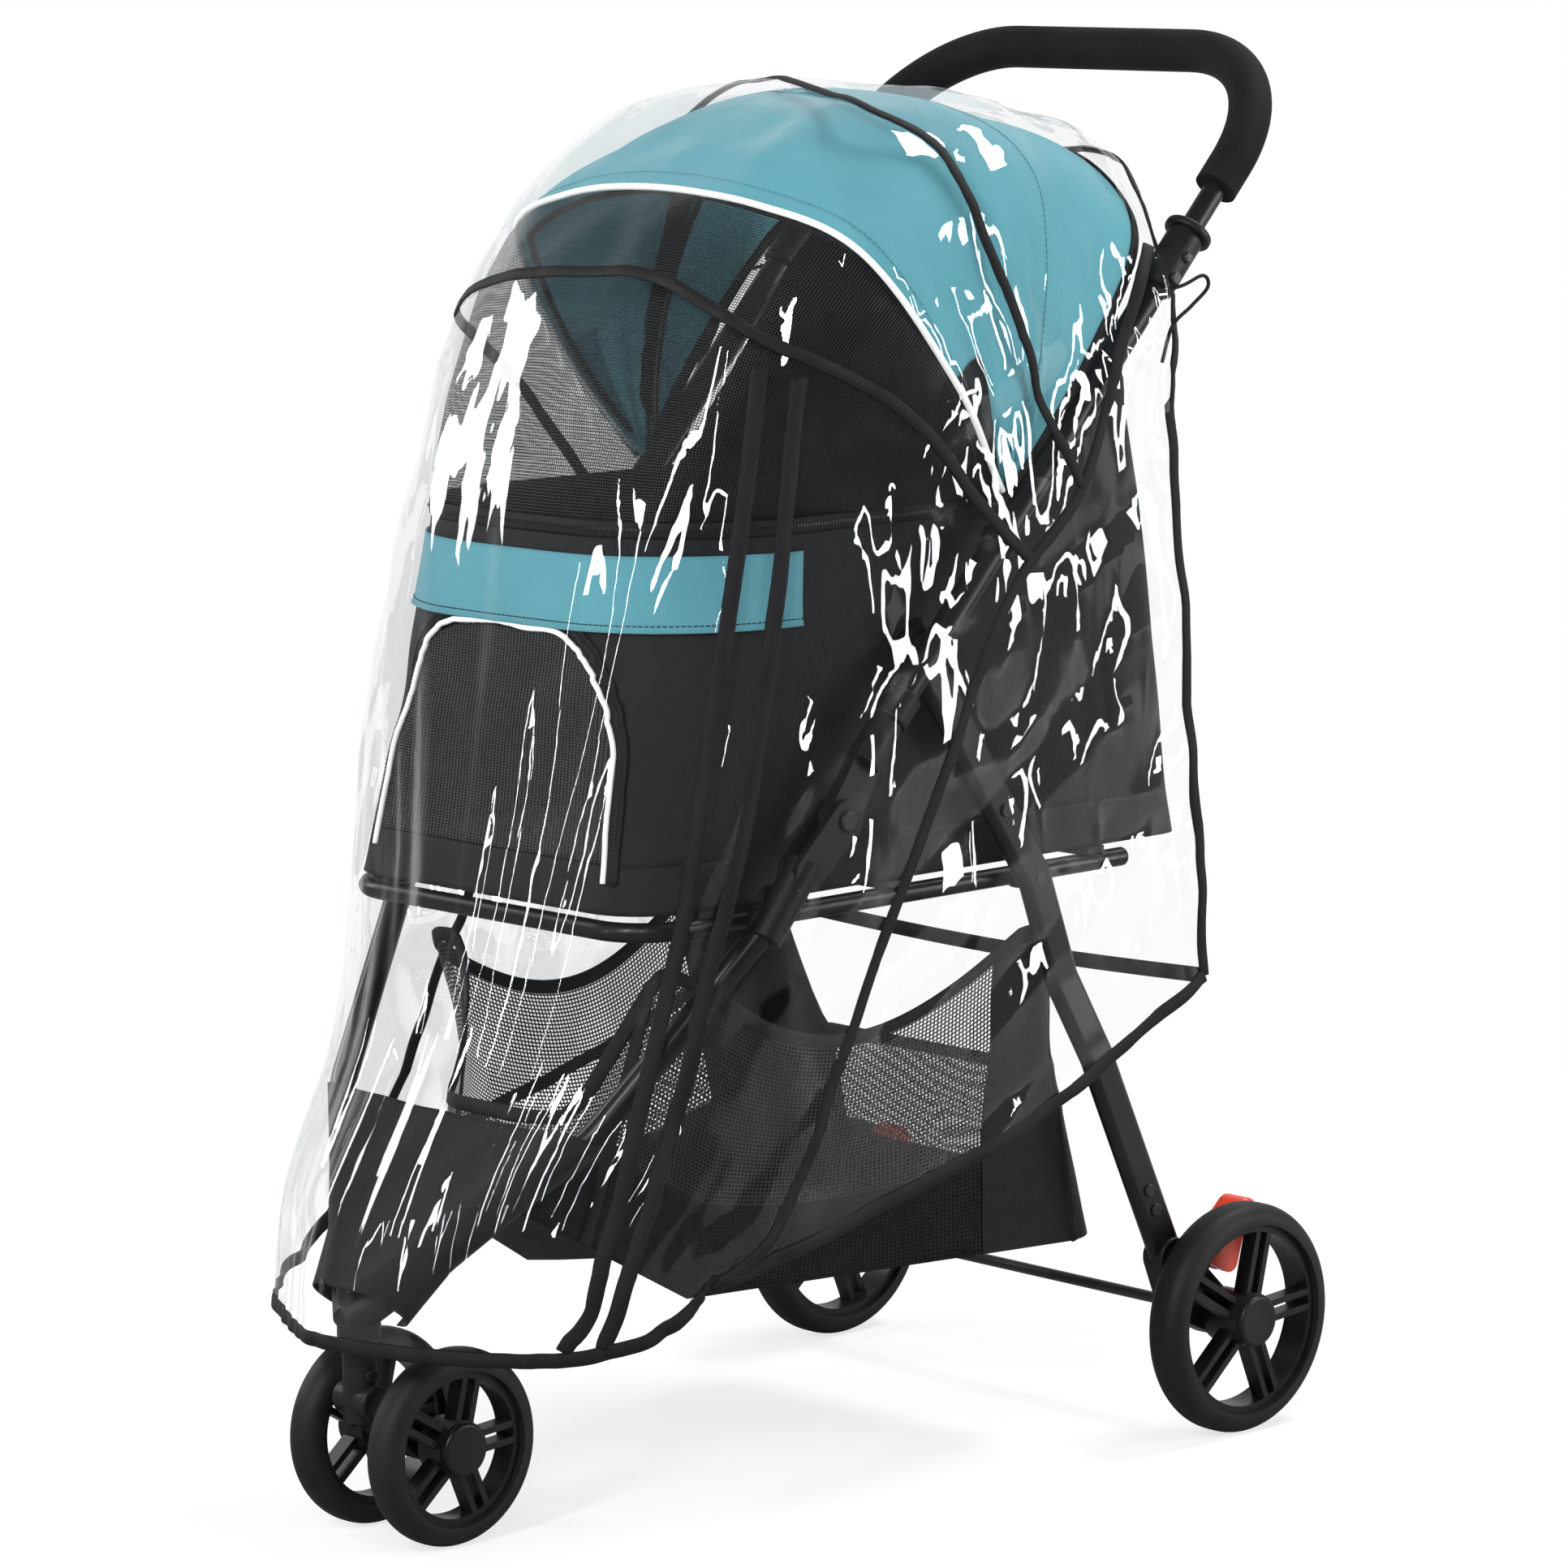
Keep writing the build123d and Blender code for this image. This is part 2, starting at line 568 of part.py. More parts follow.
def caster_fork():
    """Trailing arm between the front wheels, with the sleeve that takes the stem."""
    outline = disc_hull([
        (FRONT_AXLE_Y, FRONT_WHEEL_R, FORK_ARM_R), (CASTER_Y, FORK_BOTTOM + FORK_ARM_R, FORK_SLEEVE_R),
    ])
    arm = side_plate(outline, -FORK_ARM_W / 2, FORK_ARM_W / 2)
    arm = fillet(arm.edges().group_by(Axis.X)[0] + arm.edges().group_by(Axis.X)[-1], FORK_ROUND)
    sleeve = rod((0, CASTER_Y, FORK_BOTTOM), (0, CASTER_Y, HEAD_BOTTOM - SEAT), FORK_SLEEVE_R)
    bore = rod((0, CASTER_Y, FORK_BOTTOM + FORK_ROUND), (0, CASTER_Y, HEAD_TOP), STEM_R + RUNNING)
    axle = rod((-FORK_ARM_W, FRONT_AXLE_Y, FRONT_WHEEL_R), (FORK_ARM_W, FRONT_AXLE_Y, FRONT_WHEEL_R), AXLE_R + RUNNING)
    button = rod((0, CASTER_Y, CASTER_BUTTON_Z), (2 * FORK_SLEEVE_R, CASTER_Y, CASTER_BUTTON_Z), CASTER_BUTTON_R + RUNNING)
    return arm + sleeve - bore - axle - button


def caster_button():
    """Push button on the side of the caster that lets the wheel off its stem."""
    start = Vector(STEM_R + RUNNING, CASTER_Y, CASTER_BUTTON_Z) + X_AXIS * CASTER_BUTTON_TRAVEL
    button = rod(start, start + X_AXIS * (FORK_SLEEVE_R - STEM_R), CASTER_BUTTON_R)
    return fillet(button.edges().group_by(Axis.X)[-1], CASTER_BUTTON_R / 4)


CASTER_BUTTON_TRAVEL = 2.0


def wheel(radius, tyre_w, hub_w, outward):
    """Tyre, rim and cap of one wheel about the X axis, with the cap on its outward side."""
    rim_r = radius - TYRE_DEPTH
    half_w = tyre_w / 2
    section = Pos(0, rim_r + TYRE_DEPTH / 2) * Rectangle(tyre_w, TYRE_DEPTH)
    section = fillet(section.vertices().sort_by(Axis.Y)[-2:], TREAD_ROUND)
    tyre = revolve(section, Axis.X)
    ring = Pos(0, rim_r - RIM_DEPTH / 2 - RUNNING) * Rectangle(tyre_w - 2 * SPOKE_RIB_W, RIM_DEPTH)
    hub = Pos(0, (HUB_R + AXLE_R + RUNNING) / 2) * Rectangle(hub_w, HUB_R - AXLE_R - RUNNING)
    rim = revolve(ring, Axis.X) + revolve(hub, Axis.X)
    spoke_length = rim_r - RIM_DEPTH / 2 - HUB_R / 2
    rib = Box(SPOKE_DEPTH, SPOKE_RIB_W, spoke_length, align=LOW)
    face_x = outward * (half_w - SPOKE_RIB_W - SPOKE_DEPTH / 2)
    ribs = []
    for index in range(SPOKE_COUNT):
        turn = Rot(SPOKE_PHASE + 360 / SPOKE_COUNT * index, 0, 0)
        for shift in (-SPOKE_RIB_PITCH / 2, SPOKE_RIB_PITCH / 2):
            ribs.append(turn * Pos(face_x, shift, HUB_R / 2) * rib)
    bore = rod((-hub_w, 0, 0), (hub_w, 0, 0), AXLE_R + RUNNING)
    rim = rim + ribs - bore
    cap_start = outward * (hub_w / 2)
    cap = rod((cap_start, 0, 0), (cap_start + outward * CAP_DEPTH, 0, 0), CAP_R)
    outer_edge = cap.edges().group_by(Axis.X)[-1 if outward > 0 else 0]
    cap = fillet(outer_edge, CAP_DEPTH / 2)
    return tyre, rim, cap


def handle_path(arm):
    """Centre line of the handle from this far below the bar, round both corners."""
    low = HANDLE_LENGTH - arm
    points = [on_tube(low), on_tube(HANDLE_LENGTH), on_tube(HANDLE_LENGTH, -TUBE_X), on_tube(low, -TUBE_X)]
    return FilletPolyline(*points, radius=HANDLE_CORNER_R)


def button_bore(radius):
    """Cross hole for the left snap button."""
    middle = on_tube(HANDLE_LENGTH - COLLAR_FROM_BAR - BUTTON_FROM_TOP)
    return rod(middle, middle + X_AXIS * 2 * COLLAR_R, radius)


def handle_tube():
    """Push handle: one U-shaped tube that plugs into both side tubes."""
    tube = swept(handle_path(COLLAR_FROM_BAR + HANDLE_INSERT), Circle(HANDLE_TUBE_R) - Circle(HANDLE_TUBE_R - TUBE_WALL))
    bore = button_bore(BUTTON_R + RUNNING)
    return tube - bore - mirrored(bore)


def handle_grip():
    """Foam grip round the handle's bend and arms."""
    foam = swept(handle_path(GRIP_ARM), Circle(GRIP_R) - Circle(HANDLE_TUBE_R + RUNNING))
    return foam


def upper_tube():
    """Left side tube from the fold joint to the collar."""
    start = on_tube(SLEEVE_START + 2 + SEAT)
    end = on_tube(HANDLE_LENGTH - COLLAR_FROM_BAR)
    bore = rod(start - TUBE_DIR, end + TUBE_DIR, UPPER_TUBE_R - TUBE_WALL)
    return rod(start, end, UPPER_TUBE_R) - bore - button_bore(BUTTON_R + RUNNING)


def handle_collar():
    """Left collar: a ferrule with a flange where the handle plugs in."""
    top = HANDLE_LENGTH - COLLAR_FROM_BAR
    ferrule = rod(on_tube(top - COLLAR_LENGTH), on_tube(top), COLLAR_R)
    ferrule = fillet(end_rim(ferrule, -TUBE_DIR), COLLAR_R / 6)
    flange = rod(on_tube(top), on_tube(top + FLANGE_DEPTH), FLANGE_R)
    flange = fillet(both_rims(flange), FLANGE_DEPTH / 3)
    tube_bore = rod(on_tube(top - 2 * COLLAR_LENGTH), on_tube(top), UPPER_TUBE_R + RUNNING)
    handle_bore = rod(on_tube(top - 1), on_tube(top + 2 * FLANGE_DEPTH), HANDLE_TUBE_R + RUNNING)
    return ferrule + flange - tube_bore - handle_bore - button_bore(BUTTON_R + RUNNING)


def handle_button():
    """Left snap button with the shoulder that keeps it in the handle tube."""
    middle = on_tube(HANDLE_LENGTH - COLLAR_FROM_BAR - BUTTON_FROM_TOP)
    tip = middle + X_AXIS * (COLLAR_R + BUTTON_PROUD)
    stem = rod(middle, tip, BUTTON_R)
    stem = fillet(stem.edges().group_by(Axis.X)[-1], BUTTON_R / 3)
    bore = HANDLE_TUBE_R - TUBE_WALL
    shoulder_r = bore * 0.78
    shoulder_reach = sqrt(bore ** 2 - shoulder_r ** 2) - SEAT
    shoulder = rod(middle, middle + X_AXIS * shoulder_reach, shoulder_r)
    return stem + shoulder


def handle_bolt():
    """Left cross bolt under the snap button, its head on the collar."""
    middle = on_tube(HANDLE_LENGTH - COLLAR_FROM_BAR - BOLT_FROM_TOP)
    face = middle + X_AXIS * (COLLAR_R + SEAT)
    head = rod(face, face + X_AXIS * BUTTON_PROUD, RIVET_R)
    return fillet(head.edges().group_by(Axis.X)[-1], BUTTON_PROUD / 2)


def canopy_clip():
    """Left ring on the side tube where the canopy's front hoop stands."""
    start = on_tube(CLIP_FROM_KNEE - CLIP_LENGTH)
    end = on_tube(CLIP_FROM_KNEE)
    ring = rod(start, end, COLLAR_R - SEAT)
    ring = fillet(both_rims(ring), SEAT * 4)
    return ring - rod(start - TUBE_DIR, end + TUBE_DIR, UPPER_TUBE_R + RUNNING)


def fold_latch():
    """Left fold latch: a sliding sleeve with a thumb tab above the fold joint."""
    low = SLEEVE_START + SLEEVE_LENGTH + SEAT
    sleeve = rod(on_tube(low), on_tube(low + LATCH_LENGTH), LATCH_R)
    sleeve = fillet(both_rims(sleeve), LATCH_R / 8)
    tab = on_tube(low + LATCH_LENGTH * 0.7) - TUBE_NORMAL * LATCH_R * 0.7
    tab = rod(tab, tab - TUBE_NORMAL * LATCH_TAB, LATCH_TAB / 2)
    tab = fillet(end_rim(tab, -TUBE_NORMAL), LATCH_TAB / 8)
    bore = rod(on_tube(low - 1), on_tube(low + 2 * LATCH_LENGTH), UPPER_TUBE_R + RUNNING)
    return sleeve + tab - bore


def rear_leg_points():
    """Corner points of the left rear leg's centre line, from its top eye to the axle bracket."""
    eye = on_tube(REAR_LEG_TOP, REAR_LEG_X)
    hinge = Vector(REAR_LEG_X, BASE_PIVOT_REAR_Y, BASE_Z)
    top = eye + (eye - hinge).normalized() * REAR_LEG_W / 2
    return [
        top, hinge, Vector(REAR_LEG_X, *REAR_LEG_JOG),
        Vector(REAR_LEG_LOW_X, *REAR_LEG_JOG_END), Vector(REAR_LEG_LOW_X, *REAR_LEG_FOOT),
    ]


def rear_leg_solid(grow, hollow):
    """Left rear leg of flat oval tube, grown all round, full or hollow."""
    path = FilletPolyline(*rear_leg_points(), radius=REAR_LEG_BEND_R)
    section = SlotOverall(REAR_LEG_W + 2 * grow, REAR_LEG_T + 2 * grow)
    if hollow:
        section = section - SlotOverall(REAR_LEG_W - 2 * TUBE_WALL, REAR_LEG_T - 2 * TUBE_WALL)
    plane = Plane(origin=path @ 0, x_dir=X_AXIS.cross(path % 0), z_dir=path % 0)
    return sweep(plane * section, path)


def rear_leg():
    """Left rear leg with its hinge hole."""
    hinge = Vector(0, BASE_PIVOT_REAR_Y, BASE_Z)
    hole = rod(hinge + X_AXIS * (REAR_LEG_X - REAR_LEG_T), hinge + X_AXIS * (REAR_LEG_X + REAR_LEG_T), PIN_R + RUNNING)
    return rear_leg_solid(0, True) - hole


def leg_rivets():
    """Rivet heads on the left rear leg: top eye, stretcher and the pair over the axle bracket."""
    points = rear_leg_points()
    heads = []
    lower = points[4] - points[3]
    upper = points[1] - points[0]
    spots = [points[0] + upper * 0.05, points[0] + upper * 0.72, points[3] + lower * 0.55, points[3] + lower * 0.63]
    under_tube = TUBE_X - UPPER_TUBE_R - SEAT - REAR_LEG_X - REAR_LEG_T / 2
    for spot, reach in zip(spots, (under_tube, RIVET_H, RIVET_H, RIVET_H)):
        face = spot + X_AXIS * (REAR_LEG_T / 2 + RUNNING)
        head = rod(face, face + X_AXIS * reach, RIVET_R)
        heads.append(fillet(head.edges().group_by(Axis.X)[-1], reach / 3))
    return heads


def axle_bracket():
    """Left moulding that carries the rear axle behind the leg, with the brake pedal's lug and pin."""
    foot_y, foot_z = REAR_LEG_FOOT
    inner = REAR_LEG_LOW_X - BRACKET_W / 2
    outline = disc_hull([
        (REAR_AXLE_Y, REAR_WHEEL_R, BRACKET_R), (foot_y, foot_z, BRACKET_R),
        (foot_y - 15, foot_z + 32, BRACKET_R - 2),
    ])
    block = side_plate(outline, inner, inner + BRACKET_W)
    block = fillet(block.edges().group_by(Axis.X)[0] + block.edges().group_by(Axis.X)[-1], FORK_ROUND / 2)
    lug_outline = disc_hull([(BRAKE_Y, BRAKE_Z, BRAKE_EAR_R), (foot_y + 5, foot_z, BRAKE_EAR_R)])
    lug = side_plate(lug_outline, REAR_LEG_LOW_X - BRAKE_LUG_T / 2, REAR_LEG_LOW_X + BRAKE_LUG_T / 2)
    pin_half = BRAKE_LUG_T / 2 + SEAT + BRAKE_EAR_T
    pin = rod((REAR_LEG_LOW_X - pin_half, BRAKE_Y, BRAKE_Z), (REAR_LEG_LOW_X + pin_half, BRAKE_Y, BRAKE_Z), BRAKE_PIN_R)
    axle = rod((0, REAR_AXLE_Y, REAR_WHEEL_R), (REAR_TRACK, REAR_AXLE_Y, REAR_WHEEL_R), AXLE_R + RUNNING)
    return block + lug + pin - axle - rear_leg_solid(RUNNING, False)


def brake_pedal():
    """Left brake pedal: two ears on the bracket's pin and a foot pad over the wheel."""
    ear_in = BRAKE_LUG_T / 2 + SEAT
    ear_out = ear_in + BRAKE_EAR_T
    ear_outline = disc_hull([
        (BRAKE_Y, BRAKE_Z, BRAKE_EAR_R - 1), (*BRAKE_HEEL, BRAKE_EAR_R), (PAD_Y - PAD_R, PAD_Z - PAD_R, BRAKE_EAR_R - 2),
    ])
    ears = [
        side_plate(ear_outline, REAR_LEG_LOW_X + start, REAR_LEG_LOW_X + end)
        for start, end in ((ear_in, ear_out), (-ear_out, -ear_in))
    ]
    pad_outline = disc_hull([(PAD_Y, PAD_Z, PAD_R), (PAD_Y - 1.6 * PAD_R, PAD_Z - PAD_R, PAD_R * 0.7)])
    pad_end = REAR_LEG_LOW_X + ear_out
    pad = side_plate(pad_outline, pad_end - PAD_W, pad_end)
    pad = fillet(pad.edges().group_by(Axis.X)[0] + pad.edges().group_by(Axis.X)[-1], FORK_ROUND)
    hole = rod((0, BRAKE_Y, BRAKE_Z), (REAR_TRACK, BRAKE_Y, BRAKE_Z), BRAKE_PIN_R + RUNNING)
    return ears[0] + ears[1] + pad - hole


def basket_outline(z, front_half, front, rear_half, rear, inset):
    """Plan outline of the basket at one height, narrow at the front."""
    corners = [
        (front_half - inset, front + inset), (rear_half - inset, rear - inset),
        (-rear_half + inset, rear - inset), (-front_half + inset, front + inset),
    ]
    outline = make_face(Polyline(*corners, close=True))
    return Pos(0, 0, z) * fillet(outline.vertices(), BASKET_CORNER_R - inset)


BASKET_CORNER_R = 34.0
BASKET_BOTTOM = (60.0, -255.0, 142.0, 222.0)
BASKET_RIM_FRONT = (150.0, -158.0)
BASKET_RIM_REAR_Y = 160.0
# The rim meets the inner faces of the rear legs just before its rear corners.
BASKET_AT_LEG = min(REAR_LEG_X, REAR_LEG_LOW_X) - REAR_LEG_T / 2 - SEAT
BASKET_FLARE = (BASKET_AT_LEG - BASKET_RIM_FRONT[0]) / (BASKET_RIM_REAR_Y - BASKET_CORNER_R - BASKET_RIM_FRONT[1])
BASKET_RIM_REAR_X = BASKET_RIM_FRONT[0] + BASKET_FLARE * (BASKET_RIM_REAR_Y - BASKET_RIM_FRONT[1])
BASKET_RIM = (*BASKET_RIM_FRONT, BASKET_RIM_REAR_X, BASKET_RIM_REAR_Y)


def basket_solid(inset, floor_z):
    """Basket as a full solid, set in by a wall and starting at a floor height."""
    return loft([basket_outline(floor_z, *BASKET_BOTTOM, inset), basket_outline(BASKET_TOP_Z, *BASKET_RIM, inset)],
                ruled=True)


def basket():
    """Open basket under the cabin, its sides scooped between the legs and its front low."""
    scoop_front = BASKET_RIM[1]
    scoop_rear = BASKET_RIM_REAR_Y - 1.25 * BASKET_CORNER_R
    middle = (scoop_front + scoop_rear) / 2
    arc = ThreePointArc((scoop_front, BASKET_TOP_Z + 1), (middle, BASKET_SCOOP_Z), (scoop_rear, BASKET_TOP_Z + 1))
    scoop = side_plate(make_face([arc, Line(arc @ 1, arc @ 0)]), -2 * TUBE_X, 2 * TUBE_X)
    hollow = basket_solid(BASKET_T, BASKET_FLOOR_Z + BASKET_T)
    lip = Pos(0, 0, BASKET_TOP_Z - 1) * Box(4 * TUBE_X, 4 * TUBE_X, 2, align=LOW)
    mouth = Pos(0, BASKET_RIM[1] + BASKET_CORNER_R, BASKET_FRONT_Z) * Box(
        2 * BASKET_FRONT_HALF, WHEELBASE, 2 * BASKET_TOP_Z, align=(Align.CENTER, Align.MAX, Align.MIN))
    walls = basket_solid(0, BASKET_FLOOR_Z) - hollow - scoop - mouth
    return walls - (lip & basket_solid(BASKET_T, BASKET_FLOOR_Z))


# The film rests on the crown of the rear hoop.
FILM_TOP_Z = HOOD_Z + REAR_HOOP_ARCH[5] * sin(radians(REAR_HOOP_ANGLE)) + FILM_T + SEAT
FILM_TOE_Y = CASTER_Y - HEAD_BOSS_R - FILM_TOE_CLEARANCE
# Rain cover outlines as (height, front, rear, half width, front corner radius, rear corner radius)
FILM_RINGS = (
    (130.0, FILM_TOE_Y, 320.0, 180.0, 160.0, 40.0),
    (190.0, FILM_TOE_Y + 3.0, 320.0, 190.0, 160.0, 40.0),
    (330.0, -272.0, 320.0, 203.0, 148.0, 40.0),
    (480.0, -234.0, 320.0, 204.0, 140.0, 40.0),
    (665.0, -200.0, 320.0, 203.0, 140.0, 40.0),
    (800.0, -144.0, 315.0, 201.0, 135.0, 40.0),
    (866.0, -92.0, 312.0, 186.0, 130.0, 40.0),
    (910.0, -22.0, 300.0, 132.0, 100.0, 40.0),
    (FILM_TOP_Z, 18.0, 185.0, 48.0, 30.0, 30.0),
)
# Hem and rear edge of the rain cover in side view, as (Y, Z)
FILM_HEM = ((FILM_TOE_Y - 65.0, 140.0), (FILM_TOE_Y + 85.0, 140.0), (-190.0, 186.0), (40.0, 240.0), (258.0, 327.0))
FILM_REAR = ((258.0, 327.0), (233.0, 611.0), (216.0, 760.0), (203.0, 800.0))
FILM_REAR_PEAK = 292.0
FILM_REAR_LAP = 10.0


def film_solid(inset):
    """Rain cover as a full solid, set in by its film."""
    sections = [
        plan_outline(z - (inset if z == FILM_RINGS[-1][0] else 0), front + inset, rear - inset, half - inset,
                     front_r - inset, rear_r - inset)
        for z, front, rear, half, front_r, rear_r in FILM_RINGS
    ]
    return loft(sections, ruled=True)


def rain_cover():
    """Clear film over the hood and the front, open below and behind, with a strap across its rear hem."""
    reach = 500.0
    hem = make_face(Polyline(*FILM_HEM, (reach, FILM_HEM[-1][1]), (reach, -1), (FILM_HEM[0][0], -1), close=True))
    side_y, side_z = FILM_REAR[-1]
    over = side_z + 2 * FILM_REAR_LAP
    rear = make_face(Polyline(*FILM_REAR, (side_y, over), (reach, over), (reach, FILM_REAR[0][1]), close=True))
    half_w = FILM_RINGS[3][3]
    back = ThreePointArc((-half_w, side_y), (0, FILM_REAR_PEAK), (half_w, side_y))
    around = Polyline(back @ 1, (reach, side_y), (reach, reach), (-reach, reach), (-reach, side_y), back @ 0)
    back_cut = make_face([back, around])
    back_cut = extrude(Pos(0, 0, side_z - FILM_REAR_LAP) * back_cut, amount=reach)
    film = film_solid(0) - film_solid(FILM_T)
    film = film - side_plate(hem, -reach, reach) - side_plate(rear, -reach, reach) - back_cut
    strap_y, strap_z = FILM_REAR[0]
    half = FILM_RINGS[2][3] - FILM_T / 2
    strap = Pos(0, strap_y - 3, strap_z) * Box(2 * half, FILM_T, FILM_STRAP_H, align=LOW)
    return film + strap


def placed(shape):
    """A finished piece, moved so that the origin is under the middle of the overall box."""
    return Pos(0, -DATUM_Y, 0) * shape


def write(name, *solids):
    """Writes one named piece, made of one or more separate solids."""
    shapes = [placed(solid) for solid in solids]
    shape = shapes[0] if len(shapes) == 1 else Compound(children=shapes)
    export_step(shape, os.path.join("parts", name + ".step"))


def write_pair(name, left):
    """Writes the left piece and its mirror image as two nodes."""
    write(name + "_left", left)
    write(name + "_right", mirrored(left))


def write_wheel(name, radius, tyre_w, hub_w, centre, outward):
    """Writes the tyre, rim and cap of one wheel at its place."""
    side = "left" if centre.X > 0 else "right"
    for kind, solid in zip(("tyre", "rim", "cap"), wheel(radius, tyre_w, hub_w, outward)):
        write(f"{name}_{kind}_{side}", Pos(*centre) * solid)


def main():
    """Builds every piece and writes it."""
    os.makedirs("parts", exist_ok=True)
    tube, caps, bars, bosses = base_pieces()
    write("base_tube", tube)
    write("base_end_caps", *caps)
    write("base_cross_bars", *bars)
    write("base_pivots", *bosses)
    walls = cabin_wall()
    write("cabin_shell", walls - door_prism(DOOR_GAP))
    write("front_door", walls & door_prism(0))
    write("floor_board", floor_board())
    write("cabin_mat", cabin_mat())
    write("mesh_screen", mesh_screen())
    write("canopy", canopy())
    write("canopy_hoops", *canopy_hoops())
    write("basket", basket())
    write("rain_cover", rain_cover())
    write_pair("front_leg", front_leg())
    write_pair("leg_clevis", leg_clevis())
    write("fold_pins", fold_pin(), mirrored(fold_pin()))
    write("front_head", front_head())
    write("front_panel", front_panel())
    write_pair("upper_tube", upper_tube())
    write_pair("joint_tongue", joint_tongue())
    write_pair("handle_collar", handle_collar())
    write("handle_tube", handle_tube())
    write("handle_grip", handle_grip())
    write("handle_bolts", handle_bolt(), mirrored(handle_bolt()))
    write("canopy_clips", canopy_clip(), mirrored(canopy_clip()))
    write_pair("handle_button", handle_button())
    write_pair("fold_latch", fold_latch())
    write_pair("rear_leg", rear_leg())
    rivets = leg_rivets()
    write("leg_rivets", *rivets, *[mirrored(rivet) for rivet in rivets])
    write_pair("axle_bracket", axle_bracket())
    write_pair("brake_pedal", brake_pedal())
    rear_hub_w = REAR_TYRE_W
    rear_end = REAR_TRACK / 2 + rear_hub_w / 2
    write("rear_axle", rod((-rear_end, REAR_AXLE_Y, REAR_WHEEL_R), (rear_end, REAR_AXLE_Y, REAR_WHEEL_R), AXLE_R))
    front_hub_w = FRONT_SPACING - FORK_ARM_W - 2 * SEAT - (FRONT_SPACING - FORK_ARM_W) / 2
    front_end = FRONT_SPACING / 2 + front_hub_w / 2
    write("front_axle", rod((-front_end, FRONT_AXLE_Y, FRONT_WHEEL_R), (front_end, FRONT_AXLE_Y, FRONT_WHEEL_R), AXLE_R))
    write("caster_fork", caster_fork())
    write("caster_stem", rod((0, CASTER_Y, FORK_BOTTOM + FORK_ROUND + SEAT), (0, CASTER_Y, SOCKET_TOP - SEAT), STEM_R))
    write("caster_button", caster_button())
    for outward in (1, -1):
        rear_centre = Vector(outward * REAR_TRACK / 2, REAR_AXLE_Y, REAR_WHEEL_R)
        write_wheel("rear", REAR_WHEEL_R, REAR_TYRE_W, rear_hub_w, rear_centre, outward)
        front_centre = Vector(outward * FRONT_SPACING / 2, FRONT_AXLE_Y, FRONT_WHEEL_R)
        write_wheel("front", FRONT_WHEEL_R, FRONT_TYRE_W, front_hub_w, front_centre, outward)


main()
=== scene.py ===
"""Looks of a folding pet stroller under its clear rain cover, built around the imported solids."""

import json
import logging
import math
from contextlib import contextmanager
from dataclasses import dataclass
from enum import Enum
from typing import Any, ClassVar, Iterable, Iterator, Sequence

import bmesh
import bpy
import numpy as np
from mathutils import Matrix, Vector
from mathutils.bvhtree import BVHTree

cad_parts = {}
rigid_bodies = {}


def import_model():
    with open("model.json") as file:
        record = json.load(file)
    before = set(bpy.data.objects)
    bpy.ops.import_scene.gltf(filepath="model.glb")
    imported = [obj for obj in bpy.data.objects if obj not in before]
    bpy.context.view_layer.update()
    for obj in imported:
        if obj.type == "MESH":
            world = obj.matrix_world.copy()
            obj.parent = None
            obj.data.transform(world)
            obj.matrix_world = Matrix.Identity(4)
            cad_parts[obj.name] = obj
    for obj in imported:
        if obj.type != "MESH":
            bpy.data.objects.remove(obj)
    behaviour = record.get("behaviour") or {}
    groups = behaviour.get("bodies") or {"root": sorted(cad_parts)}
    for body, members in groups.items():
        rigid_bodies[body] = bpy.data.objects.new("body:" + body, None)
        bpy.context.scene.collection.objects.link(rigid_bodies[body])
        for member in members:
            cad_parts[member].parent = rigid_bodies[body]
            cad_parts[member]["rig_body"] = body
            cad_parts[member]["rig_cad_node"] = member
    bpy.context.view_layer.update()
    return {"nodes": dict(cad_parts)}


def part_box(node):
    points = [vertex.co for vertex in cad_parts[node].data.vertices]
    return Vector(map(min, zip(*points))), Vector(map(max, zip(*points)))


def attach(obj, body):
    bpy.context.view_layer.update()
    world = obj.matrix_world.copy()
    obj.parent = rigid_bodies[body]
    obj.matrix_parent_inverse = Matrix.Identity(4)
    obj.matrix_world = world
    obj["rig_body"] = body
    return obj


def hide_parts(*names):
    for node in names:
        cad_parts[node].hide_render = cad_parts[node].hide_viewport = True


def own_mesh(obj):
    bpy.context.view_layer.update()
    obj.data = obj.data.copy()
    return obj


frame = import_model()
LOG = logging.getLogger("stroller")

# Shapes below are drawn in millimetres from the middle of the wheelbase, as the solids are.
DATUM_Y = 13.5
MM = 0.001
CABIN_HEART = np.array([0.0, 30.0, 560.0])
Colour = tuple[float, float, float]
Points = np.ndarray
Waves = tuple[tuple[float, float, float], ...]


def to_row(points: Points) -> Points:
    """Turns drawing millimetres into metres in the part's own frame."""
    moved = np.asarray(points, float) - np.array([0.0, DATUM_Y, 0.0])
    return moved * MM


def unit(vectors: Points) -> Points:
    """Vectors along the last axis, brought to length one."""
    return vectors / np.maximum(np.linalg.norm(vectors, axis=-1, keepdims=True), 1e-9)


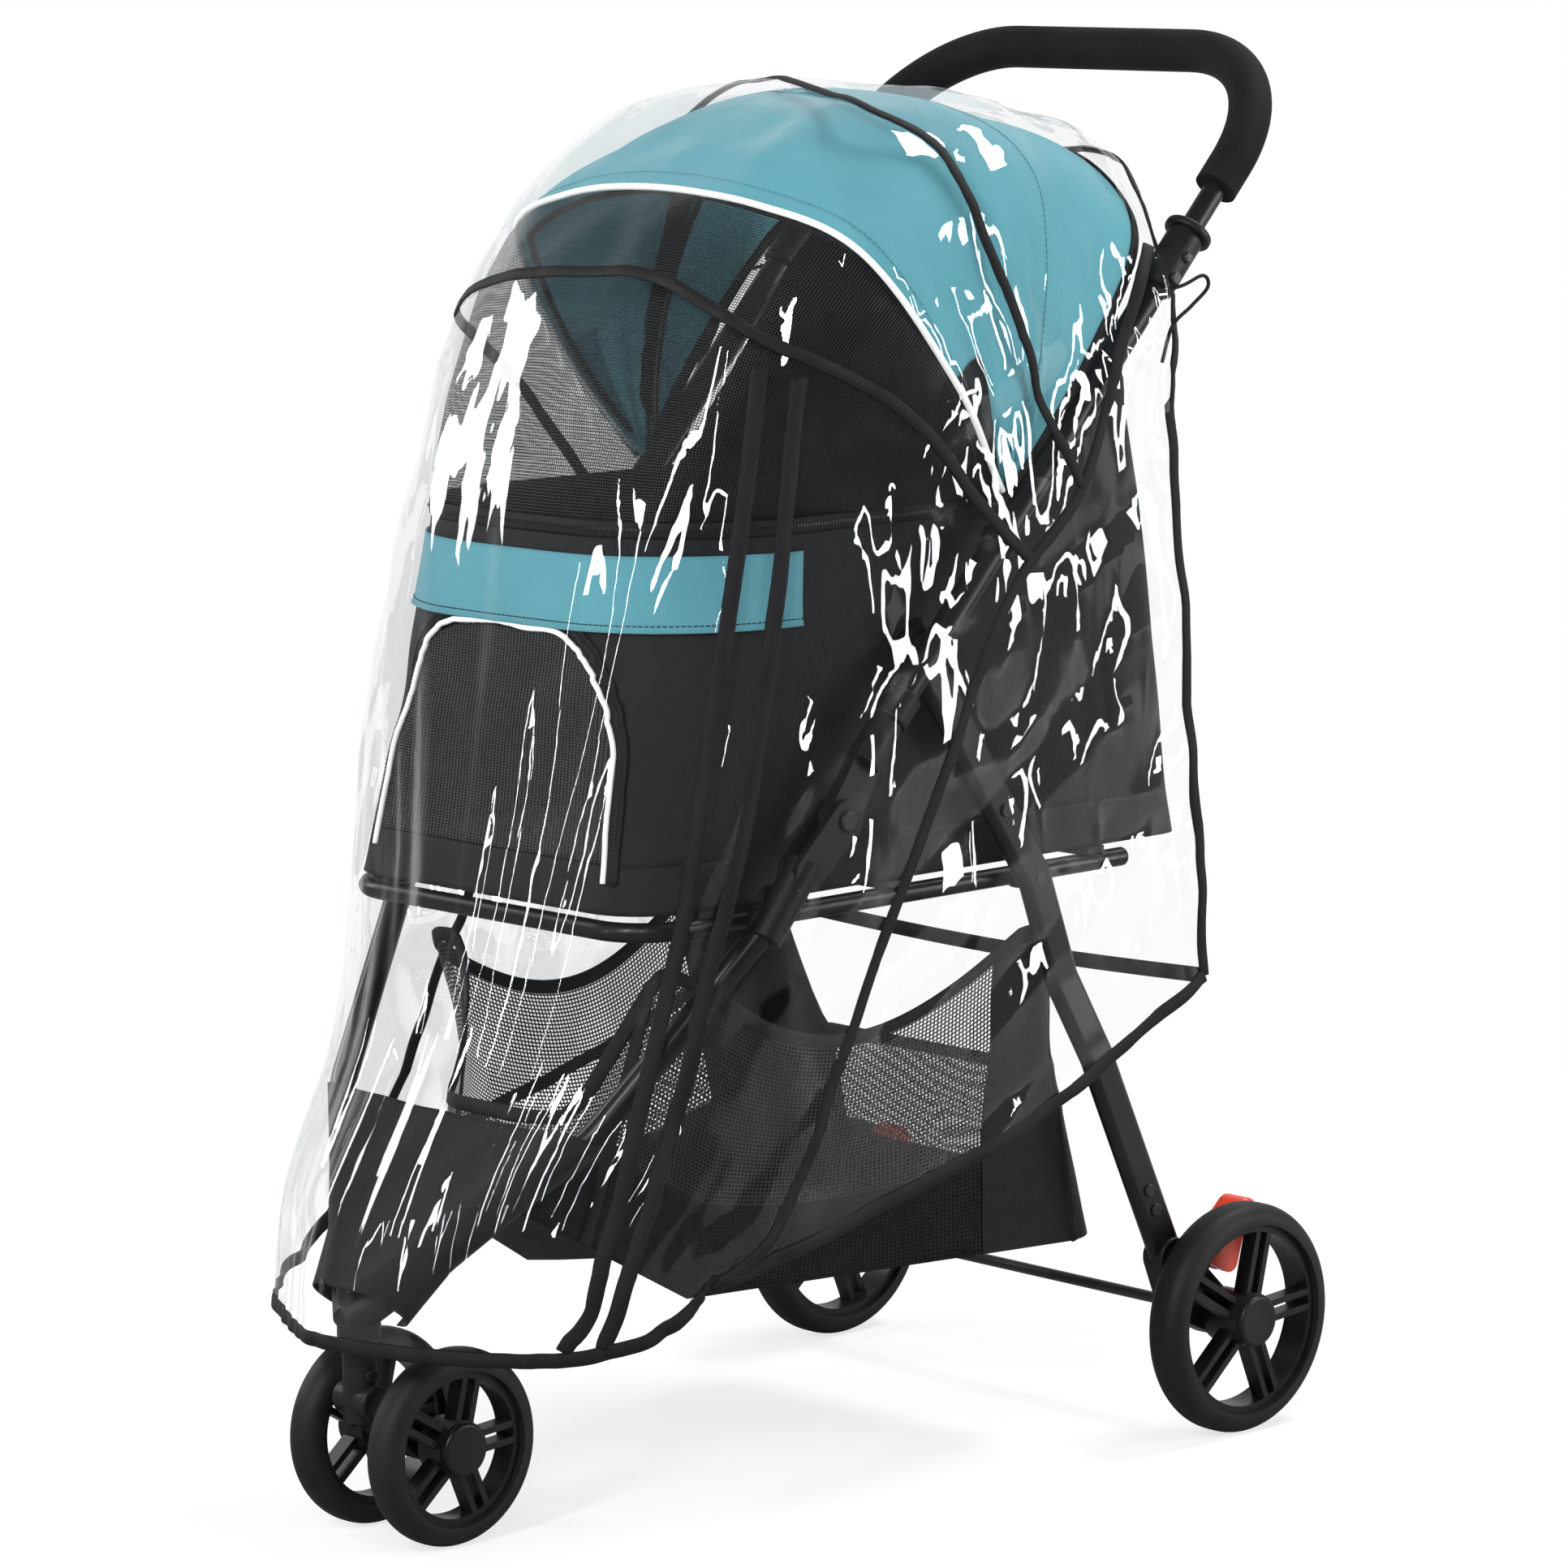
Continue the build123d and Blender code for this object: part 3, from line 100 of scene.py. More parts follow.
class Shade:
    """One value in a node tree that can be used in ordinary sums."""

    def __init__(self, bench: "Bench", socket: bpy.types.NodeSocket) -> None:
        """Wraps an output socket of a bench."""
        self.bench = bench
        self.socket = socket

    def _math(self, operation: str, *values: Any) -> "Shade":
        """Adds one Math node with its inputs in order, numbers or shades."""
        return self.bench.node("ShaderNodeMath", {"operation": operation}, dict(enumerate(values)))

    def __add__(self, other: Any) -> "Shade":
        """self + other."""
        return self._math("ADD", self, other)

    __radd__ = __add__

    def __sub__(self, other: Any) -> "Shade":
        """self - other."""
        return self._math("SUBTRACT", self, other)

    def __rsub__(self, other: Any) -> "Shade":
        """other - self."""
        return self._math("SUBTRACT", other, self)

    def __mul__(self, other: Any) -> "Shade":
        """self * other."""
        return self._math("MULTIPLY", self, other)

    __rmul__ = __mul__

    def __pow__(self, other: Any) -> "Shade":
        """self to the power of other."""
        return self._math("POWER", self, other)

    def sine(self) -> "Shade":
        """Sine of the value."""
        return self._math("SINE", self)

    def size(self) -> "Shade":
        """The value without its sign."""
        return self._math("ABSOLUTE", self)

    def larger(self, other: Any) -> "Shade":
        """The larger of two values."""
        return self._math("MAXIMUM", self, other)

    def ramp(
        self, low: float, high: float, start: float = 0.0, end: float = 1.0, soft: bool = True,
    ) -> "Shade":
        """Goes from start to end while the value goes from low to high.

        Args:
            low: the value at the start.
            high: the value at the end.
            start: the result up to low.
            end: the result from high on.
            soft: whether the step is smooth at both ends, not straight.

        Returns:
            The step.
        """
        settings = {"interpolation_type": "SMOOTHSTEP" if soft else "LINEAR", "clamp": True}
        values = {"Value": self, "From Min": low, "From Max": high, "To Min": start, "To Max": end}
        return self.bench.node("ShaderNodeMapRange", settings, values)


class Bench:
    """Builds the nodes of one material or of the world."""

    def __init__(self, name: str, world: bool = False) -> None:
        """Starts an empty node tree.

        Args:
            name: the name of the material or world.
            world: whether it is the world.
        """
        self.owner = (bpy.data.worlds if world else bpy.data.materials).new(name)
        self.owner.use_nodes = True
        self.tree = self.owner.node_tree
        self.tree.nodes.clear()
        self.output = self.tree.nodes.new("ShaderNodeOutputWorld" if world else "ShaderNodeOutputMaterial")

    def node(self, kind: str, settings: dict[str, Any], values: dict[Any, Any], out: Any = 0) -> Shade:
        """Adds one node.

        Args:
            kind: the node's type.
            settings: its own properties, set first.
            values: its sockets by name or number, each a number, a colour or a shade.
            out: which output to return.

        Returns:
            That output.
        """
        made = self.tree.nodes.new(kind)
        for key, value in settings.items():
            setattr(made, key, value)
        for key, value in values.items():
            if isinstance(value, Shade):
                self.tree.links.new(value.socket, made.inputs[key])
            else:
                made.inputs[key].default_value = value
        return Shade(self, made.outputs[out])

    def place(self, source: str = "Object") -> Shade:
        """Position from the object's own space, its UV map or, in the world, the direction."""
        return self.node("ShaderNodeTexCoord", {}, {}, source)

    def ray(self, kind: str) -> Shade:
        """One where the light path is of a kind, else nought."""
        return self.node("ShaderNodeLightPath", {}, {}, kind)

    def axes(self, vector: Shade) -> list[Shade]:
        """The three parts of a vector."""
        first = self.node("ShaderNodeSeparateXYZ", {}, {0: vector})
        return [Shade(self, socket) for socket in first.socket.node.outputs]

    def noise(
        self, scale: float, detail: float = 3.0, vector: Shade | None = None, rough: float = 0.55,
    ) -> Shade:
        """Smooth noise.

        Args:
            scale: blotches per metre.
            detail: octaves.
            vector: where it is read, object space by default.
            rough: how strong the small octaves are.

        Returns:
            The noise value.
        """
        values = {"Vector": vector or self.place(), "Scale": scale, "Detail": detail, "Roughness": rough}
        return self.node("ShaderNodeTexNoise", {}, values)

    def blend(self, factor: Shade, low: Colour, high: Colour) -> Shade:
        """Mixes two colours by a value."""
        ends = {0: factor, 6: (*low, 1.0), 7: (*high, 1.0)}
        return self.node("ShaderNodeMix", {"data_type": "RGBA"}, ends, 2)

    def mix(self, factor: Shade | float, first: Shade, second: Shade) -> Shade:
        """Mixes two shaders by a value."""
        return self.node("ShaderNodeMixShader", {}, {0: factor, 1: first, 2: second})

    def bump(self, height: Shade, depth: float, strength: float = 1.0, under: Shade | None = None) -> Shade:
        """Turns a height into a normal.

        Args:
            height: height from 0 to 1.
            depth: real depth in metres.
            strength: share of the effect.
            under: another bump's normal below this one.

        Returns:
            The normal.
        """
        values: dict[str, Any] = {"Height": height, "Distance": depth, "Strength": strength}
        if under is not None:
            values["Normal"] = under
        return self.node("ShaderNodeBump", {}, values)

    def surface(self, **values: Any) -> Shade:
        """Adds a Principled shader.

        Args:
            values: its inputs, with underscores in the names for spaces.

        Returns:
            The shader.
        """
        named = {key.replace("_", " "): value for key, value in values.items()}
        if isinstance(named["Base Color"], tuple):
            named["Base Color"] = (*named["Base Color"], 1.0)
        return self.node("ShaderNodeBsdfPrincipled", {}, named)

    def finish(self, shader: Shade) -> Any:
        """Joins the shader to the output and returns the material or world."""
        self.tree.links.new(shader.socket, self.output.inputs["Surface"])
        return self.owner


class Finish:
    """A surface finish that makes its material once."""

    made: ClassVar[dict[str, bpy.types.Material]] = {}
    name: str

    def build(self) -> bpy.types.Material:
        """Makes the material."""
        raise NotImplementedError

    def material(self) -> bpy.types.Material:
        """The finish's material, made on first use."""
        if self.name not in Finish.made:
            Finish.made[self.name] = self.build()
        return Finish.made[self.name]


@dataclass(frozen=True)
class HardFinish(Finish):
    """Paint, plastic, rubber or plated metal with fine grain and patchy gloss."""

    name: str
    colour: Colour
    worn: Colour
    roughness: float
    spread: float = 0.08
    grain: float = 2500.0
    depth: float = 0.00004
    metallic: float = 0.0
    coat: float = 0.0
    shine: float = 0.22
    patches: float = 14.0

    def build(self) -> bpy.types.Material:
        """Makes the material.

        Returns:
            The material, its tint and gloss in broad patches over the grain.
        """
        bench = Bench(self.name)
        broad = bench.noise(self.patches, 4.0)
        fine = bench.noise(self.grain, 2.0)
        tint = bench.blend(broad.ramp(0.35, 0.75), self.colour, self.worn)
        gloss = broad * (2 * self.spread) + fine * self.spread + (self.roughness - 1.5 * self.spread)
        shader = bench.surface(
            Base_Color=tint, Roughness=gloss, Metallic=self.metallic, Coat_Weight=self.coat,
            Normal=bench.bump(fine, self.depth, 0.6), Specular_IOR_Level=self.shine,
        )
        return bench.finish(shader)


@dataclass(frozen=True)
class ClothFinish(Finish):
    """Woven cloth: a plain weave on the UV map with creases and faded patches."""

    name: str
    colour: Colour
    faded: Colour
    pitch: float = 0.0011
    roughness: float = 0.78
    crease: float = 0.0012
    sheen: float = 0.15
    glow: float = 0.0
    shine: float = 0.25

    def weave(self, bench: Bench) -> Shade:
        """Height of the weave.

        Args:
            bench: the material's bench.

        Returns:
            The height from 0 to 1.
        """
        along, across, _ = bench.axes(bench.place("UV"))
        turn = 2 * math.pi / self.pitch
        return (along * turn).sine() * (across * turn).sine() * 0.5 + 0.5

    def build(self) -> bpy.types.Material:
        """Makes the material.

        Returns:
            The material, with some light let through where the cloth glows.
        """
        bench = Bench(self.name)
        weave = self.weave(bench)
        patches = bench.noise(9.0, 5.0)
        creases = bench.noise(22.0, 6.0, rough=0.62)
        tint = bench.blend((patches * 0.75 + weave * 0.3).ramp(0.25, 0.85), self.colour, self.faded)
        normal = bench.bump(creases, self.crease * 6, 0.5)
        normal = bench.bump(weave, self.pitch * 0.25, 0.55, normal)
        shader = bench.surface(
            Base_Color=tint, Roughness=patches * 0.16 + (self.roughness - 0.08), Normal=normal,
            Sheen_Weight=self.sheen, Sheen_Roughness=0.4, Specular_IOR_Level=self.shine,
        )
        if self.glow:
            through = bench.node("ShaderNodeBsdfTranslucent", {}, {"Color": tint})
            shader = bench.mix(self.glow, shader, through)
        return bench.finish(shader)


@dataclass(frozen=True)
class NetFinish(Finish):
    """Open net: threads on the UV map with see-through gaps."""

    name: str
    colour: Colour
    pitch: float
    cover: float
    roughness: float = 0.6
    blur: float = 0.12

    def build(self) -> bpy.types.Material:
        """Makes the material.

        Returns:
            The material, clear between the threads.
        """
        bench = Bench(self.name)
        turn = 2 * math.pi / self.pitch
        edge = math.cos(math.pi * self.cover)
        quarter = math.pi / 2
        along, across, _ = bench.axes(bench.place("UV"))
        warp, weft = (
            (way * turn + quarter).sine().ramp(edge - self.blur, edge + self.blur) for way in (along, across)
        )
        thread = warp.larger(weft)
        patches = bench.noise(30.0, 3.0)
        tint = bench.blend(patches, self.colour, tuple(min(1.0, 1.8 * c + 0.01) for c in self.colour))
        shader = bench.surface(
            Base_Color=tint, Roughness=patches * 0.2 + (self.roughness - 0.1), Alpha=thread,
            Normal=bench.bump(thread, 0.0003, 0.5), Specular_IOR_Level=0.2,
        )
        return bench.finish(shader)


@dataclass(frozen=True)
class FilmFinish(Finish):
    """Clear soft film: a see-through sheet with mirror gloss, crinkles and a little haze."""

    name: str
    index: float = 1.42
    haze: float = 0.003
    roughness: float = 0.014
    most: float = 0.24
    clear: Colour = (0.975, 0.985, 0.988)

    def build(self) -> bpy.types.Material:
        """Makes the material.

        Returns:
            The material: clear film mixed with a mirror by angle, up to a most.
        """
        bench = Bench(self.name)
        tall = bench.node("ShaderNodeMapping", {}, {"Vector": bench.place(), "Scale": (1.0, 1.0, 0.35)})
        folds = bench.noise(8.0, 2.0, tall, 0.45)
        crinkle = bench.noise(26.0, 2.0, tall, 0.5)
        ridges = 1.0 - (crinkle * 2.0 - 1.0).size()
        normal = bench.bump(folds, 0.022, 0.7)
        normal = bench.bump(ridges, 0.0022, 0.35, normal)
        gloss = bench.node("ShaderNodeFresnel", {}, {"IOR": self.index, "Normal": normal})
        smear = bench.noise(16.0, 4.0).ramp(0.5, 0.85)
        mirror = bench.surface(
            Base_Color=(1.0, 1.0, 1.0), Metallic=1.0, Roughness=smear * 0.03 + self.roughness, Normal=normal,
        )
        clear = bench.node("ShaderNodeBsdfTransparent", {}, {"Color": (*self.clear, 1.0)})
        held = 1.0 - (1.0 - gloss).larger(1.0 - self.most)
        return bench.finish(bench.mix(held + smear * self.haze + self.haze, clear, mirror))


PAINT = HardFinish(
    "frame_paint", (0.004, 0.004, 0.005), (0.008, 0.008, 0.009),
    roughness=0.36, spread=0.06, grain=1800.0, depth=0.00003, coat=0.05)
PLASTIC = HardFinish(
    "moulded_plastic", (0.004, 0.004, 0.005), (0.009, 0.009, 0.010),
    roughness=0.46, spread=0.07, grain=2600.0, depth=0.00006)
WHEEL = HardFinish(
    "wheel_plastic", (0.004, 0.004, 0.005), (0.008, 0.008, 0.009),
    roughness=0.36, spread=0.07, grain=2200.0, depth=0.00005)
TYRE = HardFinish(
    "tyre_foam", (0.004, 0.004, 0.004), (0.010, 0.009, 0.009),
    roughness=0.58, spread=0.10, grain=1400.0, depth=0.00012)
FOAM = HardFinish(
    "grip_foam", (0.003, 0.003, 0.004), (0.008, 0.008, 0.009),
    roughness=0.82, spread=0.06, grain=1500.0, depth=0.00022, shine=0.15)
DARK_STEEL = HardFinish(
    "black_steel", (0.02, 0.02, 0.022), (0.035, 0.035, 0.036),
    roughness=0.34, spread=0.08, grain=900.0, depth=0.00003, metallic=0.4)
BRAKE = HardFinish(
    "brake_red", (0.62, 0.035, 0.010), (0.70, 0.055, 0.018),
    roughness=0.30, spread=0.06, grain=1600.0, depth=0.00004, coat=0.2, shine=0.5)
TAPE = ClothFinish(
    "black_binding", (0.004, 0.004, 0.005), (0.009, 0.009, 0.010),
    pitch=0.0012, roughness=0.55, crease=0.0002, sheen=0.0, shine=0.15)
BLACK = ClothFinish(
    "black_cloth", (0.005, 0.005, 0.006), (0.012, 0.012, 0.013),
    pitch=0.0012, roughness=0.66, crease=0.0012, sheen=0.03, shine=0.2)
TEAL = ClothFinish(
    "teal_cloth", (0.066, 0.225, 0.272), (0.088, 0.268, 0.318),
    pitch=0.0012, roughness=0.74, crease=0.0011, sheen=0.10)
HOOD_TEAL = ClothFinish(
    "hood_teal_cloth", (0.100, 0.335, 0.400), (0.130, 0.385, 0.450),
    pitch=0.0012, roughness=0.74, crease=0.0011, sheen=0.10, glow=0.14)
MAT = ClothFinish(
    "mat_cloth", (0.014, 0.014, 0.015), (0.030, 0.030, 0.032),
    pitch=0.0016, roughness=0.85, crease=0.0014, sheen=0.2)
WHITE = ClothFinish(
    "white_piping", (0.80, 0.80, 0.81), (0.88, 0.88, 0.89),
    pitch=0.0010, roughness=0.6, crease=0.0001, sheen=0.1)
NET = NetFinish("window_net", (0.008, 0.008, 0.009), pitch=0.0021, cover=0.29)
BASKET_NET = NetFinish("basket_net", (0.008, 0.008, 0.009), pitch=0.0034, cover=0.42)
DOOR_NET = NetFinish("door_net", (0.020, 0.020, 0.021), pitch=0.0034, cover=0.30)
FILM = FilmFinish("clear_film")


class Hold(Enum):
    """How a sheet is held."""

    STRETCHED = "stretched"
    HUNG = "hung"
    DRAPED = "draped"


class Mesher:
    """Makes mesh objects at the origin from arrays of points in drawing millimetres."""

    @staticmethod
    def link(name: str, data: bpy.types.ID) -> bpy.types.Object:
        """Puts data into the scene.

        Args:
            name: the object's name.
            data: its mesh, lamp or camera.

        Returns:
            The linked object.
        """
        obj = bpy.data.objects.new(name, data)
        bpy.context.scene.collection.objects.link(obj)
        return obj

    @staticmethod
    def new(
        name: str, verts: Points, faces: Sequence[Sequence[int]], finish: Finish | None = None,
    ) -> bpy.types.Object:
        """Makes one object.

        Args:
            name: the object's name.
            verts: points in millimetres.
            faces: corner numbers of each face.
            finish: its finish, if it has one yet.

        Returns:
            The linked object.
        """
        mesh = bpy.data.meshes.new(name)
        mesh.from_pydata([tuple(p) for p in to_row(verts)], [], faces)
        mesh.validate()
        if finish is not None:
            mesh.materials.append(finish.material())
        for polygon in mesh.polygons:
            polygon.use_smooth = True
        return Mesher.link(name, mesh)

    @staticmethod
    def quads(rows: int, columns: int, closed: bool) -> list[tuple[int, ...]]:
        """Faces of a sheet.

        Args:
            rows: rows of points.
            columns: points in each row.
            closed: whether each row runs round to its start.

        Returns:
            The corner numbers, row by row.
        """
        faces = []
        for row in range(rows - 1):
            start, above = row * columns, (row + 1) * columns
            for column in range(columns if closed else columns - 1):
                after = (column + 1) % columns
                faces.append((start + column, start + after, above + after, above + column))
        return faces

    @staticmethod
    def grid(name: str, points: Points, finish: Finish, closed: bool = False) -> bpy.types.Object:
        """Makes a sheet from rows and columns of points, with a UV map in real metres.

        Args:
            name: the object's name.
            points: array of rows, columns and XYZ.
            finish: its finish.
            closed: whether each row runs round to its start.

        Returns:
            The sheet.
        """
        rows, columns = points.shape[:2]
        spans = columns if closed else columns - 1
        obj = Mesher.new(name, points.reshape(-1, 3), Mesher.quads(rows, columns, closed), finish)
        wide = np.linalg.norm(np.diff(np.concatenate([points, points[:, :1]], 1), axis=1), axis=2)
        tall = np.linalg.norm(np.diff(points, axis=0), axis=2)
        across = np.concatenate([[0.0], np.cumsum(wide.max(0))]) * MM
        along = np.concatenate([[0.0], np.cumsum(tall.max(1))]) * MM
        layer = obj.data.uv_layers.new(name="UVMap")
        values = np.zeros((len(obj.data.loops), 2), np.float32)
        for index, polygon in enumerate(obj.data.polygons):
            row, column = divmod(index, spans)
            corners = ((column, row), (column + 1, row), (column + 1, row + 1), (column, row + 1))
            for loop, (u, v) in zip(polygon.loop_indices, corners):
                values[loop] = (across[u], along[v])
        layer.data.foreach_set("uv", values.ravel())
        return obj

    @staticmethod
    def dress(obj: bpy.types.Object, finish: Finish) -> None:
        """Gives an object one finish in place of what it had."""
        obj.data.materials.clear()
        obj.data.materials.append(finish.material())

    @staticmethod
    @contextmanager
    def edit(obj: bpy.types.Object) -> Iterator[bmesh.types.BMesh]:
        """Opens an object's mesh for editing and writes it back.

        Args:
            obj: the object.

        Returns:
            The mesh that can be edited.
        """
        work = bmesh.new()
        work.from_mesh(obj.data)
        yield work
        work.to_mesh(obj.data)
        work.free()

    @staticmethod
    def outward(obj: bpy.types.Object) -> bpy.types.Object:
        """Merges doubles and turns every face of a mesh outwards.

        Args:
            obj: the object.

        Returns:
            The object.
        """
        with Mesher.edit(obj) as work:
            bmesh.ops.remove_doubles(work, verts=work.verts, dist=1e-6)
            bmesh.ops.recalc_face_normals(work, faces=work.faces)
        return obj

    @staticmethod
    def apply(obj: bpy.types.Object) -> bpy.types.Object:
        """Bakes an object's modifiers into its mesh.

        Args:
            obj: the object.

        Returns:
            The object, without modifiers.
        """
        bpy.context.view_layer.update()
        graph = bpy.context.evaluated_depsgraph_get()
        mesh = bpy.data.meshes.new_from_object(obj.evaluated_get(graph))
        obj.modifiers.clear()
        obj.data = mesh
        return obj

    @staticmethod
    def thicken(obj: bpy.types.Object, thickness: float, offset: float = -1.0) -> bpy.types.Object:
        """Gives a sheet its thickness and bakes it.

        Args:
            obj: the sheet.
            thickness: in millimetres.
            offset: from -1, all inwards, to 1, all outwards.

        Returns:
            The sheet.
        """
        wall = obj.modifiers.new("wall", "SOLIDIFY")
        wall.thickness = thickness * MM
        wall.offset = offset
        return Mesher.apply(obj)


class Curves:
    """Numeric helpers for smooth lines and surfaces in millimetres."""

    @staticmethod
    def table(keys: Sequence[float], values: Points, at: Points) -> Points:
        """Smoothly interpolates a table with a monotone cubic.

        Args:
            keys: rising key positions.
            values: one row of numbers for each key.
            at: where to read it.

        Returns:
            One row for each position.
        """
        x = np.asarray(keys, float)
        y = np.asarray(values, float).reshape(len(x), -1)
        h = np.diff(x)[:, None]
        slope = np.diff(y, axis=0) / h
        tangent = np.zeros_like(y)
        tangent[0], tangent[-1] = slope[0], slope[-1]
        same = slope[:-1] * slope[1:] > 0
        mean = 2 * slope[:-1] * slope[1:] / np.where(same, slope[:-1] + slope[1:], 1.0)
        tangent[1:-1] = np.where(same, mean, 0.0)
        spot = np.clip(np.searchsorted(x, at, side="right") - 1, 0, len(x) - 2)
        t = ((np.asarray(at) - x[spot]) / np.diff(x)[spot])[:, None]
        step = h[spot]
        return (
            (2 * t ** 3 - 3 * t ** 2 + 1) * y[spot] + (t ** 3 - 2 * t ** 2 + t) * step * tangent[spot]
            + (3 * t ** 2 - 2 * t ** 3) * y[spot + 1] + (t ** 3 - t ** 2) * step * tangent[spot + 1]
        )

    @staticmethod
    def even(points: Points, count: int) -> Points:
        """Resamples a line.

        Args:
            points: the line.
            count: points in the result.

        Returns:
            Evenly spaced points along it.
        """
        steps = np.linalg.norm(np.diff(points, axis=0), axis=1)
        reach = np.concatenate([[0.0], np.cumsum(steps)])
        marks = np.linspace(0, reach[-1], count)
        return np.stack([np.interp(marks, reach, points[:, i]) for i in range(points.shape[1])], 1)

    @staticmethod
    def smooth(points: Sequence[Sequence[float]], count: int, fine: int = 24) -> Points:
        """Draws a smooth line through points.

        Args:
            points: what it goes through.
            count: points in the result.
            fine: steps between two given points before they are spaced out.

        Returns:
            Evenly spaced points along the line.
        """
        given = np.asarray(points, float)
        padded = np.concatenate([[2 * given[0] - given[1]], given, [2 * given[-1] - given[-2]]])
        dense = []
        for index in range(len(given) - 1):
            a, b, c, d = padded[index:index + 4]
            t = np.linspace(0, 1, fine, endpoint=index == len(given) - 2)[:, None]
            dense.append(0.5 * (2 * b + (c - a) * t + (2 * a - 5 * b + 4 * c - d) * t ** 2
                                + (3 * b - a - 3 * c + d) * t ** 3))
        return Curves.even(np.concatenate(dense), count)

    @staticmethod
    def normals(points: Points) -> Points:
        """Unit normals of a sheet of points."""
        return unit(np.cross(np.gradient(points, axis=1), np.gradient(points, axis=0)))

    @staticmethod
    def outward(points: Points, centre: Points) -> Points:
        """Unit normals of a sheet of points, on its side away from a centre."""
        normals = Curves.normals(points)
        return normals * float(np.sign(np.median((normals * (points - centre)).sum(2))))

    @staticmethod
    def level(points: Points, y: float) -> Points:
        """Level unit vectors to points from the upright line in the middle at y."""
        return unit((points - np.array([0.0, y, 0.0])) * np.array([1.0, 1.0, 0.0]))

    @staticmethod
    def ripples(shape: tuple[int, int], seed: int, waves: Waves) -> Points:
        """Sums long waves with seeded phases over a sheet.

        Args:
            shape: rows and columns.
            seed: fixes the phases.
            waves: each wave's cycles along the rows, cycles along the columns, and height.

        Returns:
            Heights in the waves' own unit.
        """
        rng = np.random.default_rng(seed)
        v, u = np.meshgrid(np.linspace(0, 1, shape[0]), np.linspace(0, 1, shape[1]), indexing="ij")
        total = np.zeros(shape)
        for cycles_u, cycles_v, height in waves:
            phase, bend, bend_phase = rng.uniform(0, 2 * math.pi, 3)
            warp = 0.35 * np.sin(2 * math.pi * (1.3 * v + 0.7 * u) + bend_phase) + 0.1 * np.sin(5 * v + bend)
            total += height * np.sin(2 * math.pi * (cycles_u * u + cycles_v * v) + phase + 3.0 * warp)
        return total


